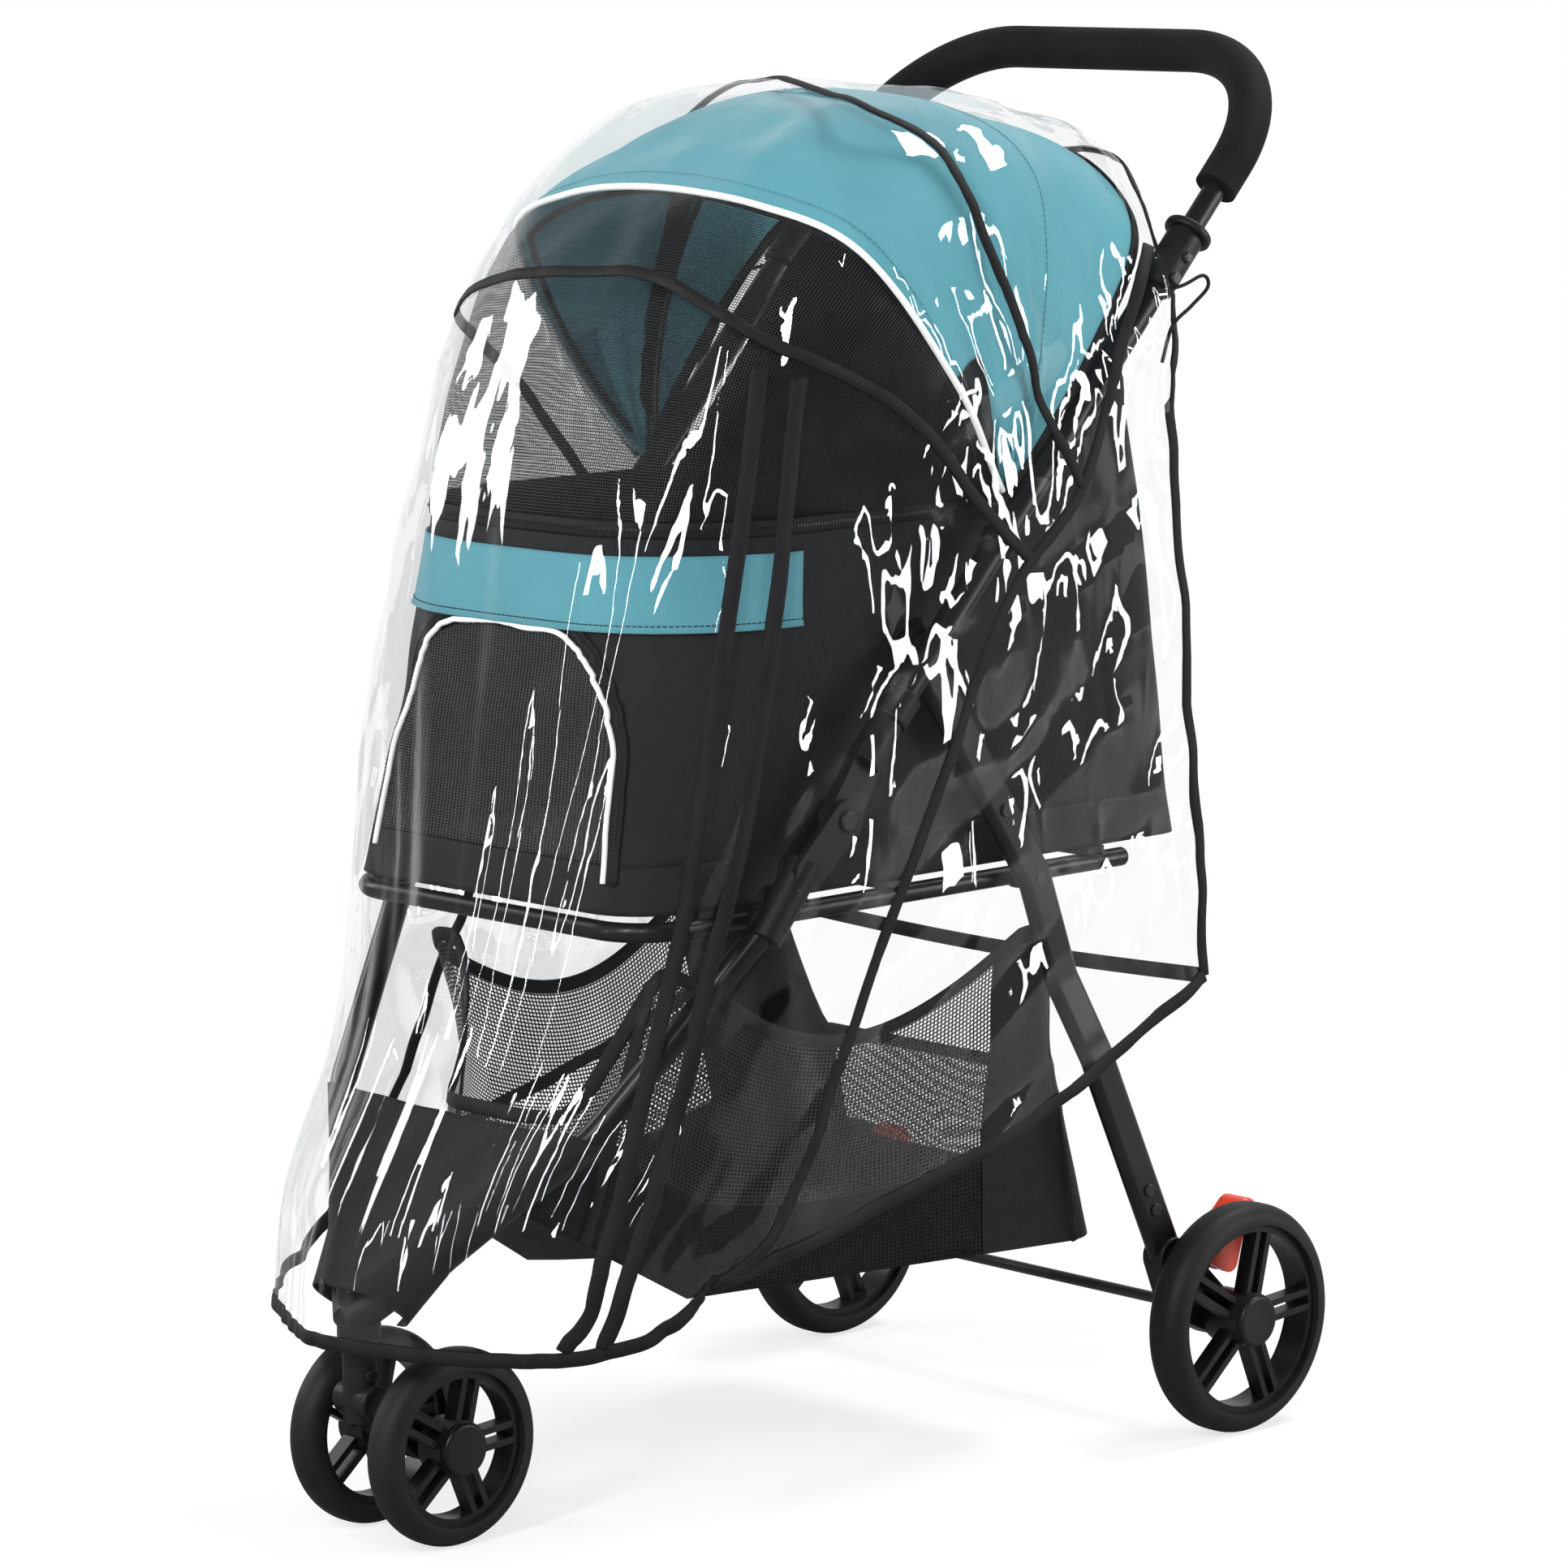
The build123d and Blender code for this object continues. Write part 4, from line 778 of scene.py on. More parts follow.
class Trim:
    """Tapes, pipings, stitches and zips that follow lines on a surface."""

    trees: ClassVar[dict[str, bpy.types.NodeTree]] = {}
    inputs: ClassVar[dict[str, str]] = {
        "Line": "Geometry", "Pitch": "Float", "Length": "Float", "Width": "Float", "Finish": "Material",
    }
    shared: ClassVar[dict[str, str]] = {
        "start": "NodeGroupInput", "end": "NodeGroupOutput", "curve": "GeometryNodeMeshToCurve",
        "marks": "GeometryNodeResampleCurve", "tangent": "GeometryNodeInputTangent",
        "turn": "FunctionNodeAlignRotationToVector", "spread": "GeometryNodeInstanceOnPoints",
        "solid": "GeometryNodeRealizeInstances", "dress": "GeometryNodeSetMaterial",
    }
    wires: ClassVar[tuple[tuple[str, Any, str, Any], ...]] = (
        ("start", "Line", "curve", "Mesh"), ("curve", "Curve", "marks", "Curve"),
        ("start", "Pitch", "marks", "Length"), ("marks", "Curve", "spread", "Points"),
        ("body", "Mesh", "spread", "Instance"), ("tangent", 0, "turn", "Vector"),
        ("turn", 0, "spread", "Rotation"), ("spread", "Instances", "solid", "Geometry"),
        ("solid", "Geometry", "dress", "Geometry"), ("start", "Finish", "dress", "Material"),
        ("dress", "Geometry", "end", "Bodies"),
    )
    round_body: ClassVar[tuple[tuple[str, Any, str, Any], ...]] = (
        ("start", "Width", "body", "Radius"), ("start", "Length", "body", "Depth"),
    )
    block_body: ClassVar[tuple[tuple[str, Any, str, Any], ...]] = (
        ("start", "Width", "size", 0), ("start", "Width", "size", 1), ("start", "Length", "size", 2),
        ("size", 0, "body", "Size"),
    )

    @staticmethod
    def sweep(name: str, path: Points, up: Points, section: Points, finish: Finish) -> bpy.types.Object:
        """Carries a closed section along a line.

        Args:
            name: the object's name.
            path: the line's points.
            up: the surface normal at each point.
            section: the section's points as (sideways, upwards).
            finish: its finish.

        Returns:
            The closed mesh.
        """
        along = unit(np.gradient(path, axis=0))
        side = unit(np.cross(along, up))
        top = np.cross(side, along)
        rings = path[:, None] + side[:, None] * section[None, :, :1] + top[:, None] * section[None, :, 1:]
        obj = Mesher.grid(name, rings, finish, closed=True)
        size = len(section)
        with Mesher.edit(obj) as work:
            work.verts.ensure_lookup_table()
            for ring in (0, len(path) - 1):
                work.faces.new([work.verts[ring * size + i] for i in range(size)])
        return Mesher.outward(obj)

    @staticmethod
    def tape(
        name: str, path: Points, up: Points, width: float, thick: float, finish: Finish,
    ) -> bpy.types.Object:
        """Lays a flat tape with rounded edges along a line.

        Args:
            name: the object's name.
            path: the line's points.
            up: the surface normal at each point.
            width: in millimetres.
            thick: in millimetres.
            finish: its finish.

        Returns:
            The closed mesh.
        """
        half, rise = width / 2, thick / 2
        section = np.array([
            (-half, 0), (-0.8 * half, rise), (0, 1.15 * rise), (0.8 * half, rise), (half, 0),
            (0.8 * half, -rise), (0, -rise), (-0.8 * half, -rise),
        ])
        return Trim.sweep(name, path, up, section, finish)

    @staticmethod
    def piping(name: str, path: Points, up: Points, radius: float, finish: Finish) -> bpy.types.Object:
        """A round piping of eight sides along a line, with the surface normals and its radius."""
        turns = np.linspace(0, 2 * math.pi, 9)[:-1]
        return Trim.sweep(name, path, up, radius * np.stack([np.cos(turns), np.sin(turns)], 1), finish)

    @staticmethod
    def tree(kind: str) -> bpy.types.NodeTree:
        """The node tree that sets small bodies along a line.

        Args:
            kind: "Stitches" for round bodies or "Teeth" for square ones.

        Returns:
            The tree, made on first use.
        """
        if kind in Trim.trees:
            return Trim.trees[kind]
        tree = bpy.data.node_groups.new(kind, "GeometryNodeTree")
        for label, sort in Trim.inputs.items():
            tree.interface.new_socket(label, in_out="INPUT", socket_type=f"NodeSocket{sort}")
        tree.interface.new_socket("Bodies", in_out="OUTPUT", socket_type="NodeSocketGeometry")
        made = {key: tree.nodes.new(sort) for key, sort in Trim.shared.items()}
        made["marks"].mode = "LENGTH"
        made["turn"].axis = "Z"
        if kind == "Stitches":
            made["body"] = tree.nodes.new("GeometryNodeMeshCylinder")
            made["body"].inputs["Vertices"].default_value = 6
        else:
            made["body"] = tree.nodes.new("GeometryNodeMeshCube")
            made["size"] = tree.nodes.new("ShaderNodeCombineXYZ")
        wires = Trim.wires + (Trim.round_body if kind == "Stitches" else Trim.block_body)
        for source, out, target, into in wires:
            tree.links.new(made[source].outputs[out], made[target].inputs[into])
        Trim.trees[kind] = tree
        return tree

    @staticmethod
    def along(
        name: str, kind: str, lines: Sequence[Points], sizes: tuple[float, float, float], finish: Finish,
    ) -> bpy.types.Object:
        """Sets stitches or zip teeth along lines with Geometry Nodes.

        Args:
            name: the object's name.
            kind: "Stitches" or "Teeth".
            lines: the lines' points.
            sizes: pitch, length and width in millimetres.
            finish: their finish.

        Returns:
            One plain mesh.
        """
        edges, first = [], 0
        for line in lines:
            edges += [(first + i, first + i + 1) for i in range(len(line) - 1)]
            first += len(line)
        mesh = bpy.data.meshes.new(name)
        mesh.from_pydata([tuple(p) for p in to_row(np.concatenate(lines))], edges, [])
        obj = Mesher.link(name, mesh)
        tree = Trim.tree(kind)
        modifier = obj.modifiers.new(kind, "NODES")
        modifier.node_group = tree
        values: dict[str, Any] = {key: size * MM for key, size in zip(("Pitch", "Length", "Width"), sizes)}
        values["Finish"] = finish.material()
        for item in tree.interface.items_tree:
            if item.in_out == "INPUT" and item.name in values:
                modifier[item.identifier] = values[item.name]
        return Mesher.apply(obj)


class Surface:
    """A sheet of points that lines can be laid on."""

    def __init__(self, points: Points, closed: bool = False) -> None:
        """Builds the search tree of a sheet of rows and columns, which may run round."""
        corners = [Vector(p) for p in points.reshape(-1, 3)]
        self.search = BVHTree.FromPolygons(corners, Mesher.quads(*points.shape[:2], closed))

    def lay(self, line: Points, lift: float, out: Points) -> tuple[Points, Points]:
        """Lays a line on the sheet.

        Args:
            line: points near the sheet.
            lift: distance to stand off it, in millimetres.
            out: a point inside, which the normals turn away from.

        Returns:
            The laid points and their normals.
        """
        spots, normals = [], []
        for point in line:
            spot, normal, _, _ = self.search.find_nearest(Vector(point))
            if normal.dot(spot - Vector(out)) < 0:
                normal = -normal
            spots.append(spot + normal * lift)
            normals.append(normal)
        return np.array(spots), np.array(normals)


class Reach:
    """Points on finished pieces, and sheets that are lifted over them."""

    @staticmethod
    def points(names: Iterable[str], step: float = 14.0) -> Points:
        """Corner and edge points of objects or solids.

        Args:
            names: the objects' names or the solids' nodes.
            step: longest distance between points along an edge, in millimetres.

        Returns:
            The points in drawing millimetres.
        """
        found = []
        for name in names:
            obj = frame["nodes"].get(name) or bpy.data.objects[name]
            mesh = obj.data
            place = np.array(obj.matrix_world)
            co = np.zeros(len(mesh.vertices) * 3)
            mesh.vertices.foreach_get("co", co)
            co = co.reshape(-1, 3) @ place[:3, :3].T + place[:3, 3]
            ends = np.zeros(len(mesh.edges) * 2, int)
            mesh.edges.foreach_get("vertices", ends)
            start, stop = co[ends.reshape(-1, 2)[:, 0]], co[ends.reshape(-1, 2)[:, 1]]
            parts = np.ceil(np.linalg.norm(stop - start, axis=1) / (step * MM)).astype(int)
            found.append(co)
            for count in range(2, min(60, parts.max() + 1) + 1):
                long = parts == count
                for index in range(1, count):
                    found.append(start[long] + (stop[long] - start[long]) * (index / count))
        points = np.concatenate(found) / MM + np.array([0.0, DATUM_Y, 0.0])
        return points[np.unique(np.round(points / 5.0), axis=0, return_index=True)[1]]

    @staticmethod
    def tent(sheet: Points, things: Points, centre: Points, gap: float) -> Points:
        """Lifts a sheet where something under it would come through.

        Args:
            sheet: the sheet's rows and columns.
            things: points on what lies under it.
            centre: a point inside.
            gap: distance to keep, in millimetres.

        Returns:
            The sheet, tented over those points.
        """
        rows, columns = sheet.shape[:2]
        for _ in range(6):
            surface = Surface(sheet)
            need = np.zeros((rows, columns))
            normals = Curves.outward(sheet, centre)
            for point in things:
                spot, _, index, _ = surface.search.find_nearest(Vector(point), 40.0)
                if spot is None:
                    continue
                row, column = divmod(index, columns - 1)
                if min(row, column, rows - 2 - row, columns - 2 - column) < 1:
                    continue
                depth = float(np.dot(point - np.array(spot), normals[row, column])) + gap
                if depth > 0:
                    face = need[row:row + 2, column:column + 2]
                    np.maximum(face, depth, out=face)
            LOG.info("sheet lifted by up to %.1f mm", need.max())
            if need.max() < 0.3:
                break
            for _ in range(8):
                wide = np.pad(need, 1, mode="edge")
                beside = (wide[:-2, 1:-1], wide[2:, 1:-1], wide[1:-1, :-2], wide[1:-1, 2:])
                need = np.maximum(need, 0.84 * np.maximum.reduce(beside))
            sheet = sheet + normals * need[..., None]
        return sheet


@dataclass
class SoftGoods:
    """What every cloth piece shares: it rides on the carriage."""

    body: str = "carriage"
    fold: str = "frame_fold"
    fold_z: float = 450.0
    keep: float = 0.115

    def settle(
        self, obj: bpy.types.Object, slot: str, *nodes: str, body: str = "", level: float = 0.0,
    ) -> bpy.types.Object:
        """Rides a piece on its body and hides the solids that it replaces.

        Args:
            obj: the piece.
            slot: the record's material slot; not used.
            nodes: the solids that it replaces.
            body: the body it rides on, if not this class's own.
            level: a height, if not this class's own, in millimetres; it is worked out but not used.

        Returns:
            The piece.
        """
        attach(obj, body or self.body)
        if self.body == "carriage":
            (level or self.fold_z) * MM
            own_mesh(obj)
        if nodes:
            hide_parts(*nodes)
        LOG.info("piece %s on %s", obj.name, body or self.body)
        return obj

    @staticmethod
    def copy(source: bpy.types.Object, name: str) -> bpy.types.Object:
        """Copies an object together with its mesh.

        Args:
            source: the object.
            name: the copy's name.

        Returns:
            The linked copy.
        """
        obj = source.copy()
        obj.data = source.data.copy()
        obj.name = name
        bpy.context.scene.collection.objects.link(obj)
        return obj

    @staticmethod
    def twin(node: str, name: str) -> bpy.types.Object:
        """A free copy of a solid, for shaping.

        Args:
            node: the solid's node.
            name: the copy's name.

        Returns:
            The copy.
        """
        obj = SoftGoods.copy(frame["nodes"][node], name)
        obj.parent = None
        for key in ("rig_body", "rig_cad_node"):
            if key in obj:
                del obj[key]
        return obj

    @staticmethod
    def declare(
        obj: bpy.types.Object, points: Points, hold: Hold, rests: Sequence[str], closed: bool = False,
    ) -> None:
        """Works out the area of a sheet's flat cut, measured along its rows and columns, and keeps nothing.

        Args:
            obj: the sheet; not used.
            points: its rows and columns.
            hold: how it is held; not used.
            rests: what it rests on; not used.
            closed: whether each row runs round to its start.
        """
        ring = np.concatenate([points, points[:, :1]], 1) if closed else points
        a, b, c, d = ring[:-1, :-1], ring[:-1, 1:], ring[1:, 1:], ring[1:, :-1]
        area = 0.5 * (np.linalg.norm(np.cross(b - a, c - a), axis=2).sum()
                      + np.linalg.norm(np.cross(c - a, d - a), axis=2).sum()) * MM * MM


@dataclass
class Hood(SoftGoods):
    """Teal canopy over two hoops and the net screen in front of it."""

    foot_y: float = 86.0
    foot_z: float = 668.0
    foot_r: float = 8.0
    heart: float = 60.0
    bow: float = 126.0
    rear: float = 51.5
    rim: float = 180.0
    columns: int = 121
    canopy_rows: int = 64
    screen_rows: int = 48
    angles: tuple[float, ...] = (51.5, 76.0, 101.0, 126.0, 152.0, 180.0)
    arches: tuple[tuple[float, ...], ...] = (
        (183.0, 188.0, 110.0, 172.0, 214.0, 288.0),
        (183.0, 193.0, 100.0, 166.0, 213.0, 272.0),
        (182.0, 194.0, 100.0, 169.0, 212.0, 267.0),
        (181.0, 194.0, 100.0, 171.0, 209.0, 256.0),
        (170.0, 178.0, 105.0, 148.0, 214.0, 252.0),
        (156.0, 157.5, 120.0, 125.0, 240.0, 271.0),
    )
    sag: float = 5.0
    fan: float = 1.6
    slack: float = 1.2
    canopy_waves: Waves = ((3.0, 1.0, 0.8), (7.0, 2.0, 0.5), (2.0, 4.0, 0.7), (11.0, 5.0, 0.25))
    screen_waves: Waves = ((2.0, 1.0, 0.9), (5.0, 2.0, 0.5))
    hoop_gap: float = 0.8
    channel_at: float = 0.62
    channel_lift: float = -2.2
    seam_at: float = 0.66

    def arch(self, angle: float) -> Points:
        """One arch of the hood in space.

        Args:
            angle: the plane's turn up from the rear, in degrees.

        Returns:
            The arch's points from the left foot to the right foot.
        """
        foot_x, side_x, side_r, shoulder_x, shoulder_r, top_r = Curves.table(
            self.angles, np.array(self.arches), np.array([angle]))[0]
        line = [
            (foot_x, self.foot_r), (side_x, side_r), (shoulder_x, shoulder_r),
            (0.55 * shoulder_x, shoulder_r + 0.78 * (top_r - shoulder_r)), (0.0, top_r),
        ]
        line += [(-x, r) for x, r in reversed(line[:-1])]
        flat = Curves.smooth(line, self.columns)
        turn = math.radians(angle)
        return np.stack([flat[:, 0], self.foot_y + flat[:, 1] * math.cos(turn),
                         self.foot_z + flat[:, 1] * math.sin(turn)], 1)

    def sheet(self, start: float, end: float, rows: int) -> Points:
        """Rows of arches between two angles."""
        return np.stack([self.arch(angle) for angle in np.linspace(start, end, rows)])

    def canopy(self, centre: Points) -> Points:
        """Builds the canopy, its hoops and the channel sewn over one of them.

        Args:
            centre: a point inside the hood.

        Returns:
            The canopy's rows and columns.
        """
        cloth = self.sheet(self.bow, self.rear, self.canopy_rows)
        shape = cloth.shape[:2]
        share = np.linspace(0, 1, shape[0])[:, None]
        across = np.linspace(-1, 1, shape[1])[None, :]
        side = np.abs(across) ** 1.5
        sag = self.sag * np.sin(math.pi * share * 2) ** 2 * (1 - 0.5 * side)
        fan = side * self.fan * np.sin(9 * math.pi * share + 4 * across)
        folds = Curves.ripples(shape, 11, self.canopy_waves)
        hold = np.sin(math.pi * np.clip(share, 0.02, 0.98)) ** 0.4
        depth = (sag + fan + folds + self.slack) * hold
        cloth = cloth - Curves.outward(cloth, centre) * depth[..., None]
        cloth = Reach.tent(cloth, Reach.points(["canopy_hoops"]), centre, self.hoop_gap)
        canopy = Mesher.grid("canopy_cloth", cloth, HOOD_TEAL)
        self.declare(canopy, cloth, Hold.STRETCHED, ["canopy_hoops"])
        self.settle(canopy, "teal_cloth", "canopy")
        self.settle(self.twin("canopy_hoops", "hoop_wires"), "steel", "canopy_hoops")
        row = cloth[int(shape[0] * self.channel_at)]
        path, up = Surface(cloth).lay(row, self.channel_lift, centre)
        self.settle(Trim.tape("hoop_channel", path, up, 17.0, 1.6, TAPE), "black_cloth")
        return cloth

    def screen(self, centre: Points) -> None:
        """Builds the net in front of the canopy.

        Args:
            centre: a point inside the hood.
        """
        net = self.sheet(self.rim, self.bow + 0.4, self.screen_rows)
        depth = np.clip(Curves.ripples(net.shape[:2], 5, self.screen_waves) + 1.0, 0, 3)
        net = net - Curves.outward(net, centre) * depth[..., None]
        screen = Mesher.grid("front_screen", net, NET)
        self.declare(screen, net, Hold.STRETCHED, ["canopy_hoops"])
        self.settle(screen, "net", "mesh_screen")

    def trims(self, cloth: Points, centre: Points) -> None:
        """Sews on the piping, the rear binding, the corners and the stitches.

        Args:
            cloth: the canopy's rows and columns.
            centre: a point inside the hood.
        """
        away = unit(cloth - centre)
        self.settle(Trim.piping("bow_piping", cloth[0] + away[0] * 1.2, away[0], 2.4, WHITE), "teal_cloth")
        edge = cloth[-1] + away[-1] * 0.2
        self.settle(Trim.tape("canopy_rear_binding", edge, away[-1], 9.0, 2.4, TAPE), "black_cloth")
        for side, columns in (("left", slice(1, 16)), ("right", slice(-16, -1))):
            patch = cloth[1:15, columns]
            corner = Mesher.grid(f"canopy_corner_{side}", patch + away[1:15, columns] * 1.2, BLACK)
            self.declare(corner, patch, Hold.STRETCHED, ["canopy_cloth"])
            self.settle(corner, "black_cloth")
        seam = int(len(cloth) * self.seam_at)
        lift = away[seam] * 0.5
        lines = [(cloth[seam] + lift)[4:-4], (cloth[3] + lift)[3:-3]]
        self.settle(Trim.along("canopy_stitches", "Stitches", lines, (4.2, 2.8, 0.35), TEAL), "teal_cloth")

    def build(self) -> None:
        """Builds the canopy, the screen and their trims."""
        centre = np.array([0.0, self.foot_y, self.foot_z + self.heart])
        cloth = self.canopy(centre)
        self.screen(centre)
        self.trims(cloth, centre)


@dataclass
class Cabin(SoftGoods):
    """Black cloth tub with its net door, zip line, teal flap and padded mat."""

    floor_z: float = 419.0
    rim_z: float = 667.0
    slope: float = 48.0
    hinge_y: float = 86.0
    heights: tuple[float, ...] = (419.0, 667.0, 840.0)
    outlines: tuple[tuple[float, ...], ...] = (
        (-222.0, 293.0, 152.0, 45.0, 25.0),
        (-185.0, 252.0, 156.0, 105.0, 25.0),
        (-160.0, 224.0, 156.0, 105.0, 25.0),
    )
    around: int = 220
    levels: int = 90
    rows: int = 60
    pan_rows: int = 8
    floor_y: float = 35.0
    floor_shares: tuple[float, ...] = (0.02, 0.35, 0.7, 0.93)
    waves: Waves = ((6.0, 0.6, 0.9), (13.0, 1.2, 0.6), (3.0, 2.0, 1.0), (23.0, 3.0, 0.3))
    slack: float = 1.6
    cloth: float = 1.8
    door_half: float = 114.0
    door_sill: float = 450.0
    door_top: float = 594.0
    door_round: float = 78.0
    door_gap: float = 0.6
    door_y: float = -230.0
    flap_z: tuple[float, float] = (597.0, 646.0)
    flap_y: float = -78.0
    flap_columns: int = 90
    mat_z: float = 427.0
    mat_swell: float = 0.004
    quilt_pitch: float = 0.062
    quilt_width: float = 0.006

    def outline(self, z: float) -> Points:
        """Plan outline of the tub at a height.

        Args:
            z: the height in millimetres.

        Returns:
            Evenly spaced points from the middle of the rear.
        """
        read = Curves.table(self.heights, np.array(self.outlines), np.array([z]))
        front, rear, half, front_r, rear_r = read[0]
        corner = np.linspace(0, math.pi / 2, 14)
        line = [(0.0, rear)]
        for a in corner:
            line.append((half - rear_r + rear_r * math.sin(a), rear - rear_r + rear_r * math.cos(a)))
        for a in corner:
            line.append((half - front_r + front_r * math.cos(a), front + front_r - front_r * math.sin(a)))
        line += [(-x, y) for x, y in reversed(line)]
        flat = Curves.even(np.array(line), self.around + 1)[:-1]
        return np.column_stack([flat, np.full(len(flat), z)])

    def top(self, y: Points) -> Points:
        """Height of the tub's top edge at a place along it."""
        return self.rim_z + np.maximum(0.0, y - self.hinge_y) * math.tan(math.radians(self.slope))

    def walls(self) -> Points:
        """The tub's walls, level as far as the door's sill.

        Returns:
            Rows of points from the floor to the top edge.
        """
        peak = self.top(self.outline(self.rim_z)[:, 1] - 8.0)
        ceiling = self.heights[-1]
        stack = np.stack([self.outline(z) for z in np.linspace(self.floor_z, ceiling, self.levels)])
        columns = np.arange(stack.shape[1])
        rings = []
        for row in range(self.rows):
            below = min(1.0, row / self.pan_rows)
            above = max(0.0, (row - self.pan_rows) / (self.rows - 1 - self.pan_rows))
            z = self.floor_z + below * (self.door_sill - self.floor_z) + above * (peak - self.door_sill)
            spot = (z - self.floor_z) / (ceiling - self.floor_z) * (self.levels - 1)
            under = np.clip(spot.astype(int), 0, self.levels - 2)
            part = (spot - under)[:, None]
            rings.append(stack[under, columns] * (1 - part) + stack[under + 1, columns] * part)
        return np.stack(rings)

    def prism(self, name: str, grow: float) -> bpy.types.Object:
        """Arched block through the front wall, for cutting the doorway and the door.

        Args:
            name: the block's name.
            grow: how much wider it is than the door on every side, in millimetres.

        Returns:
            The closed block.
        """
        half, low, high = self.door_half + grow, self.door_sill - grow, self.door_top + grow
        bend = self.door_round
        arc = np.linspace(0, math.pi / 2, 12)
        line = [(-half, low), (half, low)]
        line += [(half - bend + bend * math.cos(a), high - bend + bend * math.sin(a)) for a in arc]
        line += [(-half + bend - bend * math.sin(a), high - bend + bend * math.cos(a)) for a in arc]
        count = len(line)
        verts = [(x, y, z) for y in (-260.0, -120.0) for x, z in line]
        faces = [tuple(range(count)), tuple(range(2 * count - 1, count - 1, -1))]
        faces += [(i, i + count, (i + 1) % count + count, (i + 1) % count) for i in range(count)]
        return Mesher.outward(Mesher.new(name, np.array(verts), faces))

    def cut(self, obj: bpy.types.Object, grow: float, operation: str) -> None:
        """Cuts a closed sheet with the doorway's block.

        Args:
            obj: the sheet.
            grow: how much wider the block is than the door, in millimetres.
            operation: "DIFFERENCE" for the opening or "INTERSECT" for the door.
        """
        block = self.prism("doorway_block", grow)
        knife = obj.modifiers.new("doorway", "BOOLEAN")
        knife.operation = operation
        knife.solver = "EXACT"
        knife.object = block
        Mesher.apply(obj)
        bpy.data.objects.remove(block)

    def pan(self, tray: Points) -> None:
        """Builds the floor with the walls up to the sill, which keep their shape in the fold.

        Args:
            tray: rows of points from the floor's middle to the sill.
        """
        pan = Mesher.grid("cabin_pan", tray, BLACK, closed=True)
        self.declare(pan, tray, Hold.STRETCHED, ["floor_board", "base_cross_bars"], closed=True)
        Mesher.thicken(Mesher.outward(pan), self.cloth)
        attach(pan, self.body)
        LOG.info("piece %s on %s", pan.name, self.body)

    def tub(self, walls: Points) -> None:
        """Builds the walls above the sill and the door cut out of them.

        Args:
            walls: rows of points from the sill to the top edge.
        """
        shell = Mesher.grid("cabin_tub", walls, BLACK, closed=True)
        self.declare(shell, walls, Hold.STRETCHED, ["cabin_pan", "canopy_hoops"], closed=True)
        Mesher.outward(shell)
        door = self.copy(shell, "door_flap")
        Mesher.thicken(shell, self.cloth)
        Mesher.thicken(door, self.cloth)
        self.cut(shell, self.door_gap, "DIFFERENCE")
        self.cut(door, -self.door_gap, "INTERSECT")
        self.settle(shell, "black_cloth", "cabin_shell")
        Mesher.dress(door, DOOR_NET)
        self.settle(door, "black_cloth", "front_door", body="door")

    def zipper(
        self, name: str, path: Points, up: Points, width: float, tooth: float, lift: float,
    ) -> None:
        """Sews on a zip: a tape and the teeth on it.

        Args:
            name: the zip's name.
            path: points along it.
            up: the surface normals there.
            width: of the tape, in millimetres.
            tooth: width of a tooth, in millimetres.
            lift: of the teeth over the tape's middle, in millimetres.
        """
        self.settle(Trim.tape(f"{name}_tape", path, up, width, 1.4, TAPE), "black_cloth")
        teeth = Trim.along(f"{name}_teeth", "Teeth", [path + up * lift], (2.6, 1.3, tooth), DARK_STEEL)
        self.settle(teeth, "black_cloth")

    def doorway(self, surface: Surface) -> None:
        """Lays piping round the door and a zip outside it.

        Args:
            surface: the tub's walls.
        """
        half, low, high = self.door_half + 5, self.door_sill - 8, self.door_top + 5
        bend = self.door_round + 4
        arc = np.linspace(0, math.pi / 2, 16)
        line = [(half, low)]
        line += [(half - bend + bend * math.cos(a), high - bend + bend * math.sin(a)) for a in arc]
        line += [(-x, z) for x, z in reversed(line)]
        arch = np.array([(x, self.door_y, z) for x, z in line])
        path, up = surface.lay(Curves.even(arch, 120), 1.6, CABIN_HEART)
        self.settle(Trim.piping("door_piping", path, up, 2.0, WHITE), "teal_cloth")
        outer = np.array([(x * 1.075, self.door_y, z + 7.0 * (z > high - bend)) for x, z in line])
        path, up = surface.lay(Curves.even(outer, 120), 0.9, CABIN_HEART)
        self.zipper("door_zip", path, up, 9.0, 1.5, 0.9)

    def rim(self, surface: Surface) -> None:
        """Lays the zip that joins the tub to the hood.

        Args:
            surface: the tub's walls.
        """
        ring = self.outline(self.rim_z - 4.0)
        front = ring[ring[:, 1] < self.hinge_y + 40]
        front = front[np.argsort(np.unwrap(np.arctan2(front[:, 0], -(front[:, 1] - 120.0))))]
        path, up = surface.lay(Curves.even(front, 180), 1.0, CABIN_HEART)
        self.zipper("rim_zip", path, up, 11.0, 1.6, 1.0)

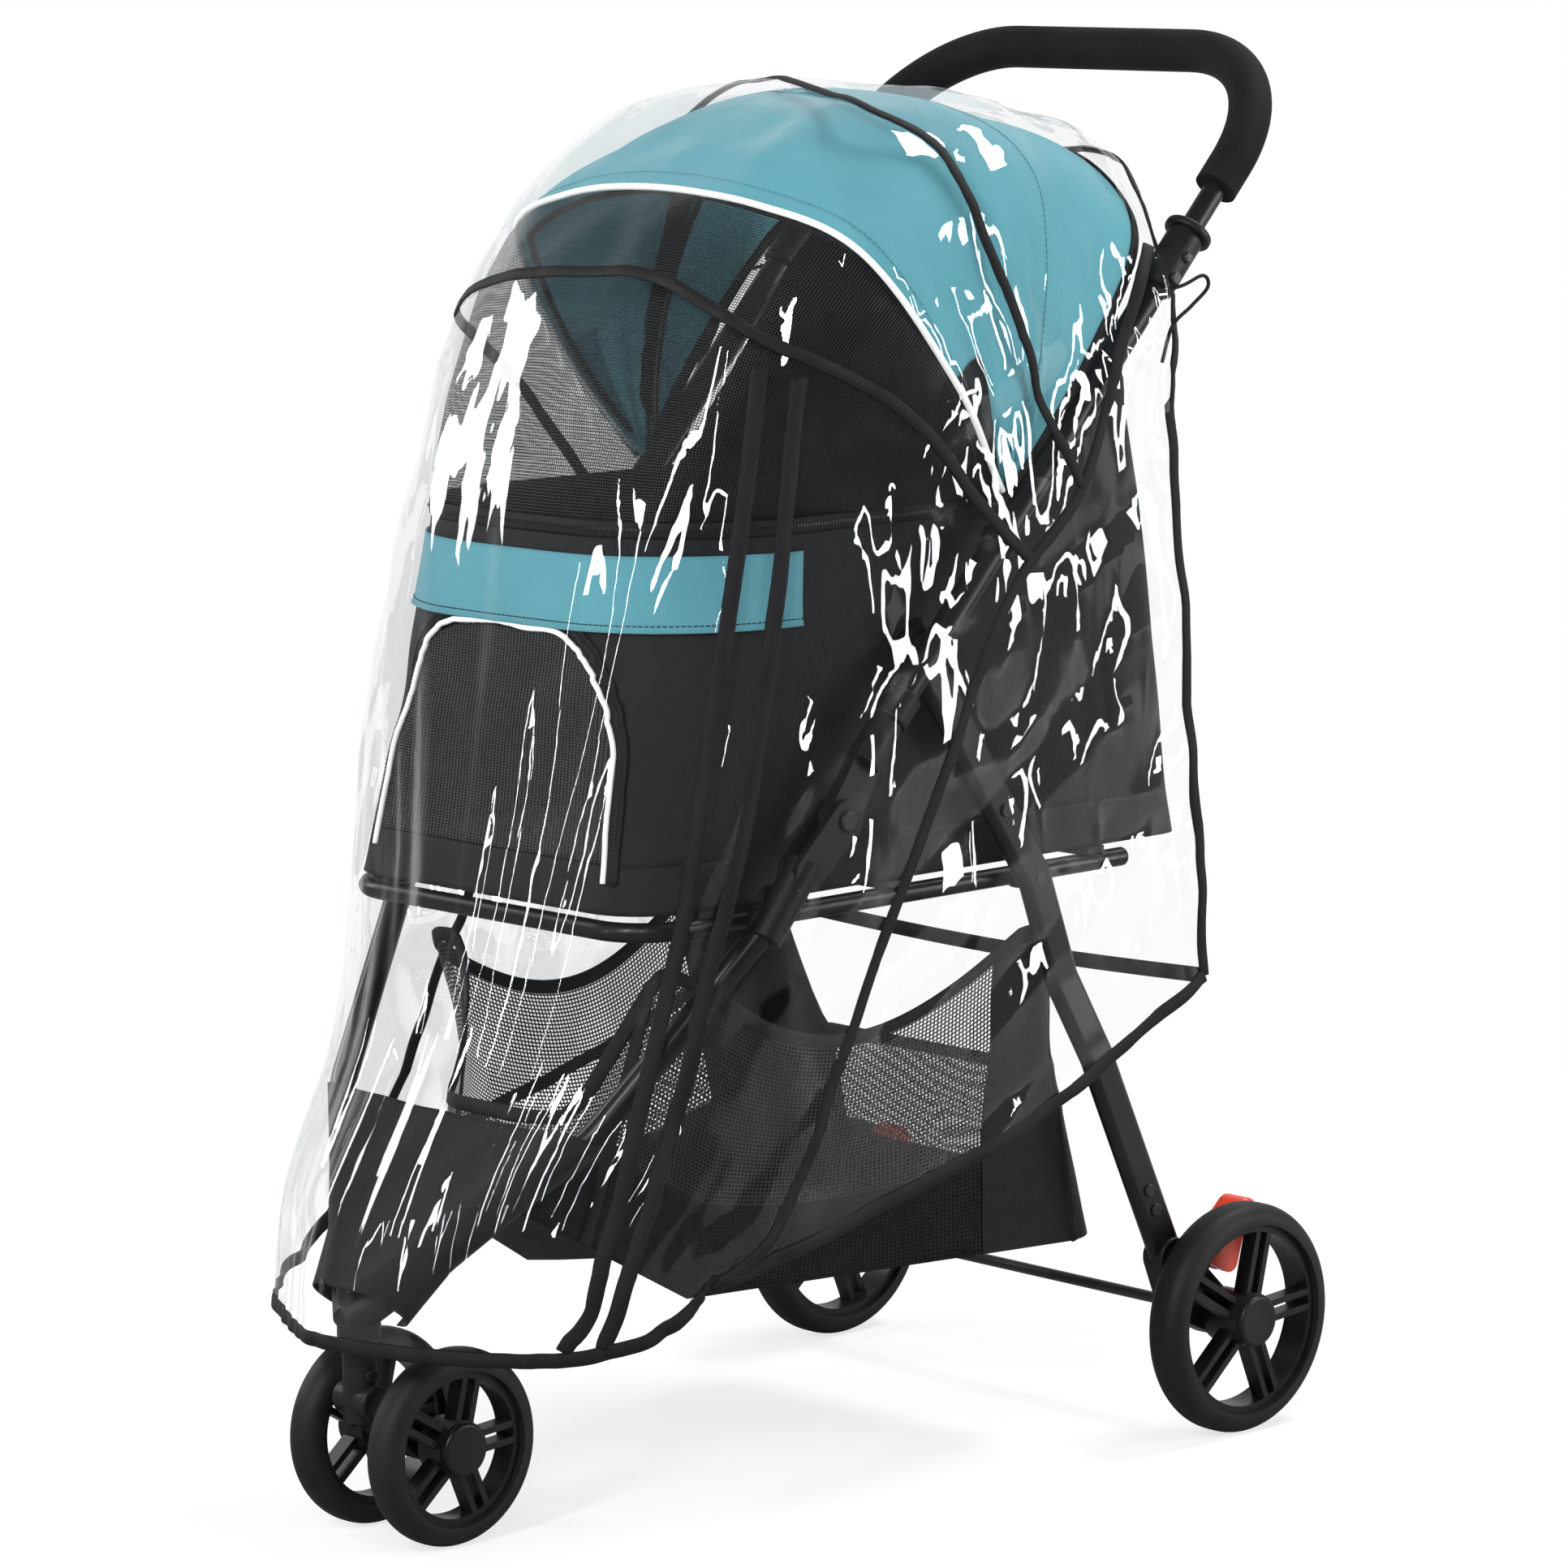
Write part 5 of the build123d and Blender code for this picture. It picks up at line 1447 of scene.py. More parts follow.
    def flap(self, surface: Surface) -> None:
        """Sews the teal flap over the front of the tub.

        Args:
            surface: the tub's walls.
        """
        rows = []
        for z in np.linspace(*self.flap_z, 12):
            ring = self.outline(z)
            ring = Curves.even(np.concatenate([ring, ring[:1]]), 4000)
            ring = ring[ring[:, 1] < self.flap_y]
            ring = ring[np.argsort(np.arctan2(ring[:, 0], -(ring[:, 1] + 20.0)))]
            lift = 2.0 + 1.5 * (z < self.flap_z[0] + 3.0)
            laid, _ = surface.lay(Curves.even(ring, self.flap_columns), lift, CABIN_HEART)
            rows.append(laid)
        flap = np.stack(rows)
        flap[..., 2] += 0.5 * np.sin(np.linspace(0, 9, self.flap_columns))
        strip = Mesher.grid("teal_flap", flap, TEAL)
        self.declare(strip, flap, Hold.STRETCHED, ["cabin_tub"])
        Mesher.thicken(strip, 1.4, 0.0)
        self.settle(strip, "teal_cloth")
        line = flap[1] + unit(flap[1] - CABIN_HEART)
        self.settle(Trim.along("flap_stitches", "Stitches", [line], (4.0, 2.6, 0.4), BLACK), "teal_cloth")

    def mat(self) -> None:
        """Blows up the padded mat from its solid and sets it on the floor board."""
        pad = self.twin("cabin_mat", "padded_mat")
        low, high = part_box("cabin_mat")
        middle = (low + high) / 2
        with Mesher.edit(pad) as work:
            bmesh.ops.remove_doubles(work, verts=work.verts, dist=1e-5)
            for vert in work.verts:
                vert.co = middle + (vert.co - middle) * 0.985
        remesh = pad.modifiers.new("remesh", "REMESH")
        remesh.mode = "VOXEL"
        remesh.voxel_size = 0.006
        Mesher.apply(pad)
        self.inflate(pad, self.mat_swell)
        self.quilt(pad, low, high)
        Mesher.dress(pad, MAT)
        layer = pad.data.uv_layers.new(name="UVMap")
        for loop in pad.data.loops:
            spot = pad.data.vertices[loop.vertex_index].co
            layer.data[loop.index].uv = (spot.x, spot.y + 0.3 * spot.z)
        for polygon in pad.data.polygons:
            polygon.use_smooth = True
        self.settle(pad, "mat_cloth", "cabin_mat", level=self.mat_z)

    @staticmethod
    def inflate(pad: bpy.types.Object, cap: float) -> None:
        """Swells a closed pad with cloth under pressure.

        Args:
            pad: the pad.
            cap: the farthest that a point may move, in metres.
        """
        start = np.array([v.co for v in pad.data.vertices])
        cloth = pad.modifiers.new("cloth", "CLOTH")
        cloth.settings.use_pressure = True
        cloth.settings.uniform_pressure_force = 4.0
        cloth.settings.effector_weights.gravity = 0.0
        scene = bpy.context.scene
        for step in range(1, 13):
            scene.frame_set(step)
        Mesher.apply(pad)
        scene.frame_set(1)
        end = np.array([v.co for v in pad.data.vertices])
        move = end - start
        far = np.linalg.norm(move, axis=1, keepdims=True)
        end = start + move * np.minimum(1.0, cap / np.maximum(far, 1e-9))
        pad.data.vertices.foreach_set("co", end.ravel())

    def quilt(self, pad: bpy.types.Object, low: Vector, high: Vector) -> None:
        """Presses the quilting channels into the mat and smooths it.

        Args:
            pad: the mat.
            low: the lowest corner of its solid, in metres.
            high: the highest corner of its solid, in metres.
        """
        middle = (low + high) / 2
        co = np.array([v.co for v in pad.data.vertices])
        row = (co[:, 1] - middle.y) / self.quilt_pitch
        channel = np.exp(-((row - np.round(row)) * self.quilt_pitch / self.quilt_width) ** 2)
        rise = np.clip((co[:, 2] - middle.z) / (high.z - middle.z), 0, 1)
        co[:, 2] -= self.mat_swell * channel * rise
        co[:, 2] = np.clip(co[:, 2], low.z, high.z + 0.001)
        pad.data.vertices.foreach_set("co", co.ravel())
        smooth = pad.modifiers.new("smooth", "SUBSURF")
        smooth.levels = 1
        smooth.render_levels = 1
        Mesher.apply(pad)

    def build(self) -> None:
        """Builds the tub, the door, what is sewn on them and the mat."""
        walls = self.walls()
        share = np.linspace(0, 1, self.rows)[:, None]
        folds = Curves.ripples(walls.shape[:2], 21, self.waves)
        swell = np.sin(math.pi * share) ** 0.6
        out = Curves.level(walls, CABIN_HEART[1])
        walls = walls - out * ((folds + self.slack) * swell)[..., None]
        middle = np.array([0.0, self.floor_y, self.floor_z])
        floor = np.stack([middle + (walls[0] - middle) * s for s in self.floor_shares])
        self.pan(np.concatenate([floor, walls[:self.pan_rows + 1]]))
        self.tub(walls[self.pan_rows:])
        surface = Surface(walls, closed=True)
        self.doorway(surface)
        self.rim(surface)
        self.flap(surface)
        self.mat()


@dataclass
class Basket(SoftGoods):
    """Net basket with black trims between the legs."""

    floor_z: float = 142.0
    top_z: float = 370.0
    scoop_z: float = 314.0
    front_z: float = 275.0
    front_half: float = 95.0
    rear_z: float = 258.0
    rear_half: float = 128.0
    toe_y: float = -118.0
    toe_slope: float = 0.6
    bottom: tuple[float, ...] = (60.0, -255.0, 142.0, 222.0)
    rim: tuple[float, ...] = (150.0, -158.0, 163.6, 160.0)
    corner: float = 34.0
    around: int = 200
    rows: int = 28
    waves: Waves = ((5.0, 0.4, 1.6), (11.0, 1.0, 0.8), (2.0, 1.0, 1.5))
    slack: float = 3.0
    floor_shares: tuple[float, ...] = (0.02, 0.3, 0.6, 0.85, 1.0)
    floor_drop: float = 3.0
    # Wall rows under the black floor cloth: painted shade over the lower net.
    shade_cloth_rows: int = 10
    posts: tuple[int, ...] = (24, 84, 116, 176)
    heart: tuple[float, float, float] = (0.0, 0.0, 220.0)
    gusset_y: float = 92.0
    gusset_x: float = 96.0

    def outline(self, share: float) -> Points:
        """Plan outline at a share of the height.

        Args:
            share: from 0 at the floor to 1 at the top.

        Returns:
            Evenly spaced points from the middle of the rear.
        """
        front_half, front, rear_half, rear = np.array(self.bottom) * (1 - share) + np.array(self.rim) * share
        lean = math.atan2(rear_half - front_half, rear - front)
        r = self.corner
        line = [(0.0, rear)]
        for angle in np.linspace(math.pi / 2, -lean, 12):
            line.append((rear_half - r + r * math.cos(angle), rear - r + r * math.sin(angle)))
        for angle in np.linspace(-lean, -math.pi / 2, 12):
            line.append((front_half - r + r * math.cos(angle), front + r + r * math.sin(angle)))
        line += [(-x, y) for x, y in reversed(line)]
        flat = Curves.even(np.array(line), self.around + 1)[:-1]
        level = self.floor_z + share * (self.top_z - self.floor_z)
        return np.column_stack([flat, np.full(len(flat), level)])

    def rise(self, rim: Points) -> Points:
        """Height of the wall's top edge: scooped sides, a low front and a low rear.

        Args:
            rim: points round the rim.

        Returns:
            The height at each point.
        """
        front, rear = self.rim[1], self.rim[3] - 1.25 * self.corner
        across = np.abs(rim[:, 0])
        dip = np.clip((rim[:, 1] - front) / (rear - front), 0, 1)
        sides = self.top_z - (self.top_z - self.scoop_z) * np.sin(math.pi * dip ** 0.9)
        mouth = np.clip((self.front_half + 12.0 - across) / 50.0, 0, 1) * (rim[:, 1] < front + self.corner)
        sides = sides - (sides - self.front_z) * mouth * mouth * (3 - 2 * mouth)
        back = np.clip((self.rear_half + 14.0 - across) / 40.0, 0, 1) * (rim[:, 1] > rear)
        return sides - (sides - self.rear_z) * back * back * (3 - 2 * back)

    def build(self) -> None:
        """Builds the walls, the floor and the trims."""
        low, high = self.outline(0.0), self.outline(1.0)
        low[:, 2] += self.toe_slope * np.maximum(0.0, self.toe_y - low[:, 1])
        peak = (self.rise(high) - low[:, 2]) / (self.top_z - low[:, 2])
        walls = np.stack([low + (high - low) * (peak * s)[:, None] for s in np.linspace(0, 1, self.rows)])
        folds = Curves.ripples(walls.shape[:2], 8, self.waves)
        hold = np.sin(math.pi * np.linspace(0.05, 0.95, self.rows))[:, None]
        out = Curves.level(walls, 0.0)
        walls = walls - out * ((folds + self.slack) * hold)[..., None]
        net = Mesher.grid("basket_net", walls, BASKET_NET, closed=True)
        self.declare(net, walls, Hold.HUNG, ["front_leg_left", "rear_leg_left"], closed=True)
        self.settle(net, "black_cloth", "basket")
        self.floor(walls)
        self.gussets(walls, out)
        self.tapes(walls)

    def floor(self, walls: Points) -> None:
        """Builds the cloth floor and carries the black cloth up the lower walls over the net, a dark sheet
        that paints the shade on the lower net.

        Args:
            walls: the walls' rows and columns.
        """
        middle = np.array([0.0, 0.0, self.floor_z + self.floor_drop])
        rings = np.stack([middle + (walls[0] - middle) * s for s in self.floor_shares])
        rings[..., 2] -= self.floor_drop * (1 - np.linspace(0, 1, len(rings)) ** 2)[:, None]
        # The cloth over the lower wall rows is painted shade, a dark sheet laid on the net.
        rings = np.concatenate([rings, walls[1:self.shade_cloth_rows]])
        floor = Mesher.grid("basket_floor", rings, BLACK, closed=True)
        self.declare(floor, rings, Hold.HUNG, ["basket_net"], closed=True)
        Mesher.thicken(floor, 1.6, 1.0)
        self.settle(floor, "black_cloth")

    def gussets(self, walls: Points, out: Points) -> None:
        """Sews black cloth over the net at the rear corners.

        Args:
            walls: the walls' rows and columns.
            out: outward directions at the same places.
        """
        rim = walls[-1]
        rear = (rim[:, 1] > self.gusset_y) & (np.abs(rim[:, 0]) > self.gusset_x)
        for name, side in (("left", 1), ("right", -1)):
            columns = np.flatnonzero(rear & (rim[:, 0] * side > 0))
            patch = walls[:, columns] + out[:, columns] * 1.1
            obj = Mesher.grid(f"basket_gusset_{name}", patch, BLACK)
            self.declare(obj, patch, Hold.HUNG, ["basket_net"])
            self.settle(obj, "black_cloth")

    def tapes(self, walls: Points) -> None:
        """Sews tapes round the rim and down the walls.

        Args:
            walls: the walls' rows and columns.
        """
        centre = np.array(self.heart)
        surface = Surface(walls, closed=True)
        edge = np.concatenate([walls[-1], walls[-1][:2]])
        path, up = surface.lay(edge, 0.3, centre)
        self.settle(Trim.tape("basket_rim_tape", path, up, 10.0, 2.4, BLACK), "black_cloth")
        for index, column in enumerate(self.posts):
            path, up = surface.lay(Curves.even(walls[:, column], 30), 0.3, centre)
            post = Trim.tape(f"basket_post_tape_{index + 1}", path, up, 9.0, 2.2, BLACK)
            self.settle(post, "black_cloth")


@dataclass
class RainCover(SoftGoods):
    """Clear film over the whole cabin, open behind, with black bindings and zip bands."""

    rows: int = 130
    columns: int = 190
    keys: tuple[tuple[float, ...], ...] = (
        (0.00, 258.0, 327.0, 199.0, 290.0, 886.0, 3.6, 1.0),
        (0.14, 200.0, 300.0, 201.0, 205.0, 920.0, 4.2, 1.0),
        (0.28, 120.0, 266.0, 203.0, 115.0, 935.5, 4.4, 1.0),
        (0.40, 45.0, 240.0, 203.5, 30.0, 934.0, 4.3, 1.0),
        (0.50, -20.0, 224.0, 203.5, -42.0, 903.0, 4.0, 1.0),
        (0.60, -70.0, 212.0, 203.0, -104.0, 852.0, 3.6, 1.0),
        (0.70, -112.0, 203.0, 202.0, -154.0, 777.0, 3.0, 1.0),
        (0.79, -145.0, 196.0, 200.0, -202.0, 652.0, 2.4, 1.0),
        (0.87, -168.0, 190.0, 197.0, -233.0, 490.0, 2.0, 1.0),
        (0.93, -182.0, 187.0, 193.0, -271.0, 335.0, 1.8, 1.3),
        (0.97, -190.0, 185.0, 189.0, -340.0, 200.0, 1.8, 2.4),
        (1.00, -194.0, 184.0, 185.0, -350.0, 140.0, 1.8, 4.0),
    )
    rear_edge: tuple[tuple[float, float], ...] = (
        (258.0, 327.0), (233.0, 611.0), (216.0, 760.0), (203.0, 800.0), (203.0, 900.0),
    )
    visor: tuple[tuple[float, ...], ...] = (
        (-200, 89, 629), (-200, 51, 659), (-197, 10, 705), (-189, -35, 745), (-150, -103, 790),
        (-81, -127, 814), (-13, -128, 821), (63, -124, 823), (112, -120, 806), (150, -105, 784),
        (189, -35, 745), (197, 10, 705), (200, 51, 659), (200, 89, 629),
    )
    crown: tuple[tuple[float, ...], ...] = (
        (-199, 136, 674), (-197, 100, 769), (-173, 95, 871), (-148, 100, 905), (-110, 104, 932),
        (-50, 88, 940), (0, 66, 941), (60, 44, 936), (108, 31, 926), (148, 51, 903), (173, 57, 871),
        (197, 85, 769), (199, 136, 674),
    )
    flank: tuple[tuple[float, ...], ...] = (
        (184, 220, 831), (197, 178, 764), (199, 136, 674), (201, 57, 594), (203, -36, 421),
        (203, -88, 326), (200, -144, 221), (190, -200, 176), (170, -246, 147),
    )
    loop: tuple[tuple[float, ...], ...] = (
        (196, 208, 799), (199, 236, 803), (200, 256, 809), (200, 261, 801), (199, 246, 789),
        (198, 228, 776), (197, 219, 752),
    )
    zips: tuple[tuple[tuple[float, ...], ...], ...] = (
        (
            (155, -112, 768), (166, -140, 670), (168, -160, 585), (167, -190, 436), (157, -222, 306),
            (150, -262, 181), (140, -280, 146),
        ),
        (
            (168, -92, 760), (176, -112, 672), (180, -130, 590), (180, -168, 436), (172, -203, 306),
            (166, -250, 181), (158, -262, 146),
        ),
    )
    waves: Waves = (
        (4.0, 3.0, 1.0), (9.0, 2.0, 0.9), (15.0, 3.0, 0.7), (27.0, 2.5, 0.45), (41.0, 4.0, 0.2),
        (6.0, 8.0, 0.4),
    )
    crease_waves: Waves = ((8.0, 4.0, 1.0), (5.0, -5.0, 1.0), (12.0, 2.0, 0.7))
    gap: float = 4.0

    def film(self) -> Points:
        """Arches from the rear edge over the hood to the front hem.

        Returns:
            The film's rows and columns, with its rear edge drawn in.
        """
        table = np.array(self.keys)
        read = Curves.table(table[:, 0], table[:, 1:], np.linspace(0, 1, self.rows))
        arches = []
        for hem_y, hem_z, half, top_y, top_z, power, drop in read:
            turn = np.linspace(0, math.pi, 4001)
            across = half * np.sign(np.cos(turn)) * np.abs(np.cos(turn)) ** (2 / power)
            up = np.abs(np.sin(turn)) ** (2 / power)
            rise = 1 - (1 - up) ** drop
            line = np.stack([across, hem_y + (top_y - hem_y) * up, hem_z + (top_z - hem_z) * rise], 1)
            arches.append(Curves.even(line, self.columns))
        film = np.stack(arches)
        edge_y, edge_z = np.array(self.rear_edge).T
        side = np.interp(film[..., 2], edge_z, edge_y)
        half = np.abs(film[..., 0]) / read[:, None, 2]
        behind = film[..., 1] - side - (read[0, 3] - edge_y[-1]) * np.clip(1 - half ** 2, 0, 1)
        places = np.arange(self.rows)
        for column in range(self.columns):
            past = np.flatnonzero(behind[:self.rows // 2, column] > 0)
            start = 0.0
            if len(past):
                last = past[-1]
                start = last + behind[last, column] / (behind[last, column] - behind[last + 1, column])
            at = start + (self.rows - 1 - start) * places / (self.rows - 1)
            film[:, column] = np.stack([np.interp(at, places, film[:, column, k]) for k in range(3)], 1)
        return film

    def bindings(self, film: Points) -> None:
        """Sews the bindings, seams and zip bands on the film.

        Args:
            film: the film's rows and columns.
        """
        surface = Surface(film)
        mirror = np.array([-1.0, 1.0, 1.0])
        jobs: list[tuple[str, Points, float]] = [
            ("film_rear_binding", film[0], 9.0),
            ("film_front_hem", film[-1], 10.0),
            ("film_left_hem", film[:, 0], 10.0),
            ("film_right_hem", film[:, -1], 10.0),
            ("film_visor_seam", Curves.smooth(self.visor, 150), 9.0),
            ("film_crown_seam", Curves.smooth(self.crown, 150), 8.0),
            ("film_left_flank_seam", Curves.smooth(self.flank, 160), 9.0),
            ("film_right_flank_seam", Curves.smooth(np.array(self.flank) * mirror, 160), 9.0),
            ("film_zip_band_1", Curves.smooth(self.zips[0], 150), 11.0),
            ("film_zip_band_2", Curves.smooth(self.zips[1], 150), 11.0),
        ]
        for name, line, width in jobs:
            path, up = surface.lay(line, 0.6, CABIN_HEART)
            path = Curves.even(path, len(path))
            self.settle(Trim.tape(name, path, up, width, 2.0, TAPE), "black_cloth")

    def ties(self) -> None:
        """Adds the tie loops and the strap across the back."""
        count = 60
        for side, sign in (("left", 1.0), ("right", -1.0)):
            loop = Curves.smooth([(sign * x, y, z) for x, y, z in self.loop], count)
            outward = np.tile(np.array([sign, 0.0, 0.0]), (count, 1))
            self.settle(Trim.piping(f"film_tie_loop_{side}", loop, outward, 1.3, TAPE), "black_cloth")
        rear_y, rear_z = self.rear_edge[0]
        half = self.keys[0][3]
        across = np.linspace(-half, half, count)
        strap = np.array([(x, rear_y, rear_z - 5.0 * math.cos(x / 200 * math.pi / 2)) for x in across])
        flat = np.tile(np.array([0.0, 1.0, 0.0]), (count, 1))
        self.settle(Trim.tape("film_back_strap", strap, flat, 11.0, 1.6, TAPE), "black_cloth")

    def build(self, things: Points) -> None:
        """Builds the film and everything sewn on it.

        Args:
            things: points on what lies under the film.
        """
        film = Reach.tent(self.film(), things, CABIN_HEART, self.gap)
        shape = film.shape[:2]
        folds = Curves.ripples(shape, 3, self.waves)
        creases = np.abs(Curves.ripples(shape, 17, self.crease_waves))
        film = film + Curves.outward(film, CABIN_HEART) * (folds + 1.1 * creases + 1.0)[..., None]
        obj = Mesher.grid("clear_film", film, FILM)
        self.declare(obj, film, Hold.DRAPED, ["canopy_cloth"])
        self.settle(obj, "film", "rain_cover")
        self.bindings(film)
        self.ties()


@dataclass
class FrontPanel(SoftGoods):
    """Black cloth stretched between the front legs."""

    body: str = "front_frame"
    knee: tuple[float, float] = (-80.36, 477.53)
    rake: float = 51.5
    leg: tuple[tuple[float, ...], ...] = (
        (254.0, 124.0, 13.0), (302.0, 85.5, 13.5), (326.0, 65.0, 15.0),
        (362.0, 37.0, 16.5), (390.0, 20.0, 21.0), (406.0, 9.0, 24.5),
    )
    top: float = 262.0
    end: float = 404.0
    rows: int = 36
    dip: float = 9.0

    def section(self, s: float, half: float, sleeve: float) -> list[tuple[float, float]]:
        """One row across both sleeves and the cloth between them.

        Args:
            s: distance down the legs from the knee, in millimetres.
            half: half the distance between the legs there.
            sleeve: radius of the sleeve there.

        Returns:
            Points as (sideways, forwards) from the left leg to the right leg.
        """
        turns = np.linspace(-math.pi * 0.45, math.pi * 0.5, 26)
        left = [(half + 1.22 * sleeve * math.cos(t), sleeve * math.sin(t)) for t in turns]
        dip = min(self.dip, 0.09 * half)
        sag = []
        for a in np.linspace(0.95 * half, -0.95 * half, 40):
            wave = 0.12 * dip * math.sin(a / 9.0 + s / 17.0)
            sag.append((a, sleeve - dip * (1 - (a / half) ** 2) + wave))
        return left + sag + [(-a, b) for a, b in reversed(left)]

    def build(self) -> None:
        """Builds the panel with its two sleeves."""
        rake = math.radians(self.rake)
        down = np.array([0.0, -math.cos(rake), -math.sin(rake)])
        front = np.array([0.0, -math.sin(rake), math.cos(rake)])
        stops, halves, rounds = np.array(self.leg).T
        rows = []
        for s in np.linspace(self.top, self.end, self.rows):
            line = self.section(s, float(np.interp(s, stops, halves)), float(np.interp(s, stops, rounds)))
            base = np.array([0.0, *self.knee]) + down * s
            rows.append([base + np.array([a, 0, 0]) + front * b for a, b in line])
        points = np.array(rows)
        panel = Mesher.grid("front_panel_cloth", points, BLACK)
        self.declare(panel, points, Hold.STRETCHED, ["front_leg_left", "front_leg_right"])
        Mesher.thicken(panel, 1.5, 0.0)
        self.settle(panel, "black_cloth", "front_panel")


@dataclass
class Dressing:
    """Finishes for the solids that show as they are."""

    finishes: tuple[tuple[Finish, tuple[str, ...]], ...] = (
        (PAINT, ("base_tube", "front_leg_", "upper_tube_", "handle_tube", "rear_leg_", "base_cross_bars")),
        (DARK_STEEL, ("base_pivots", "fold_pins", "handle_bolts", "leg_rivets", "rear_axle", "front_axle",
                      "caster_stem", "canopy_hoops", "handle_button_")),
        (PLASTIC, ("base_end_caps", "leg_clevis_", "front_head", "joint_tongue_", "handle_collar_",
                   "canopy_clips", "axle_bracket_", "caster_", "fold_latch_", "floor_board")),
        (WHEEL, ("front_rim_", "rear_rim_", "front_cap_", "rear_cap_")),
        (TYRE, ("front_tyre_", "rear_tyre_")),
        (FOAM, ("handle_grip",)),
        (BRAKE, ("brake_pedal_",)),
    )

    def build(self) -> None:
        """Gives each shown solid its material."""
        for name, node in frame["nodes"].items():
            for finish, starts in self.finishes:
                if name.startswith(starts):
                    Mesher.dress(node, finish)
                    break
            for polygon in node.data.polygons:
                polygon.material_index = 0


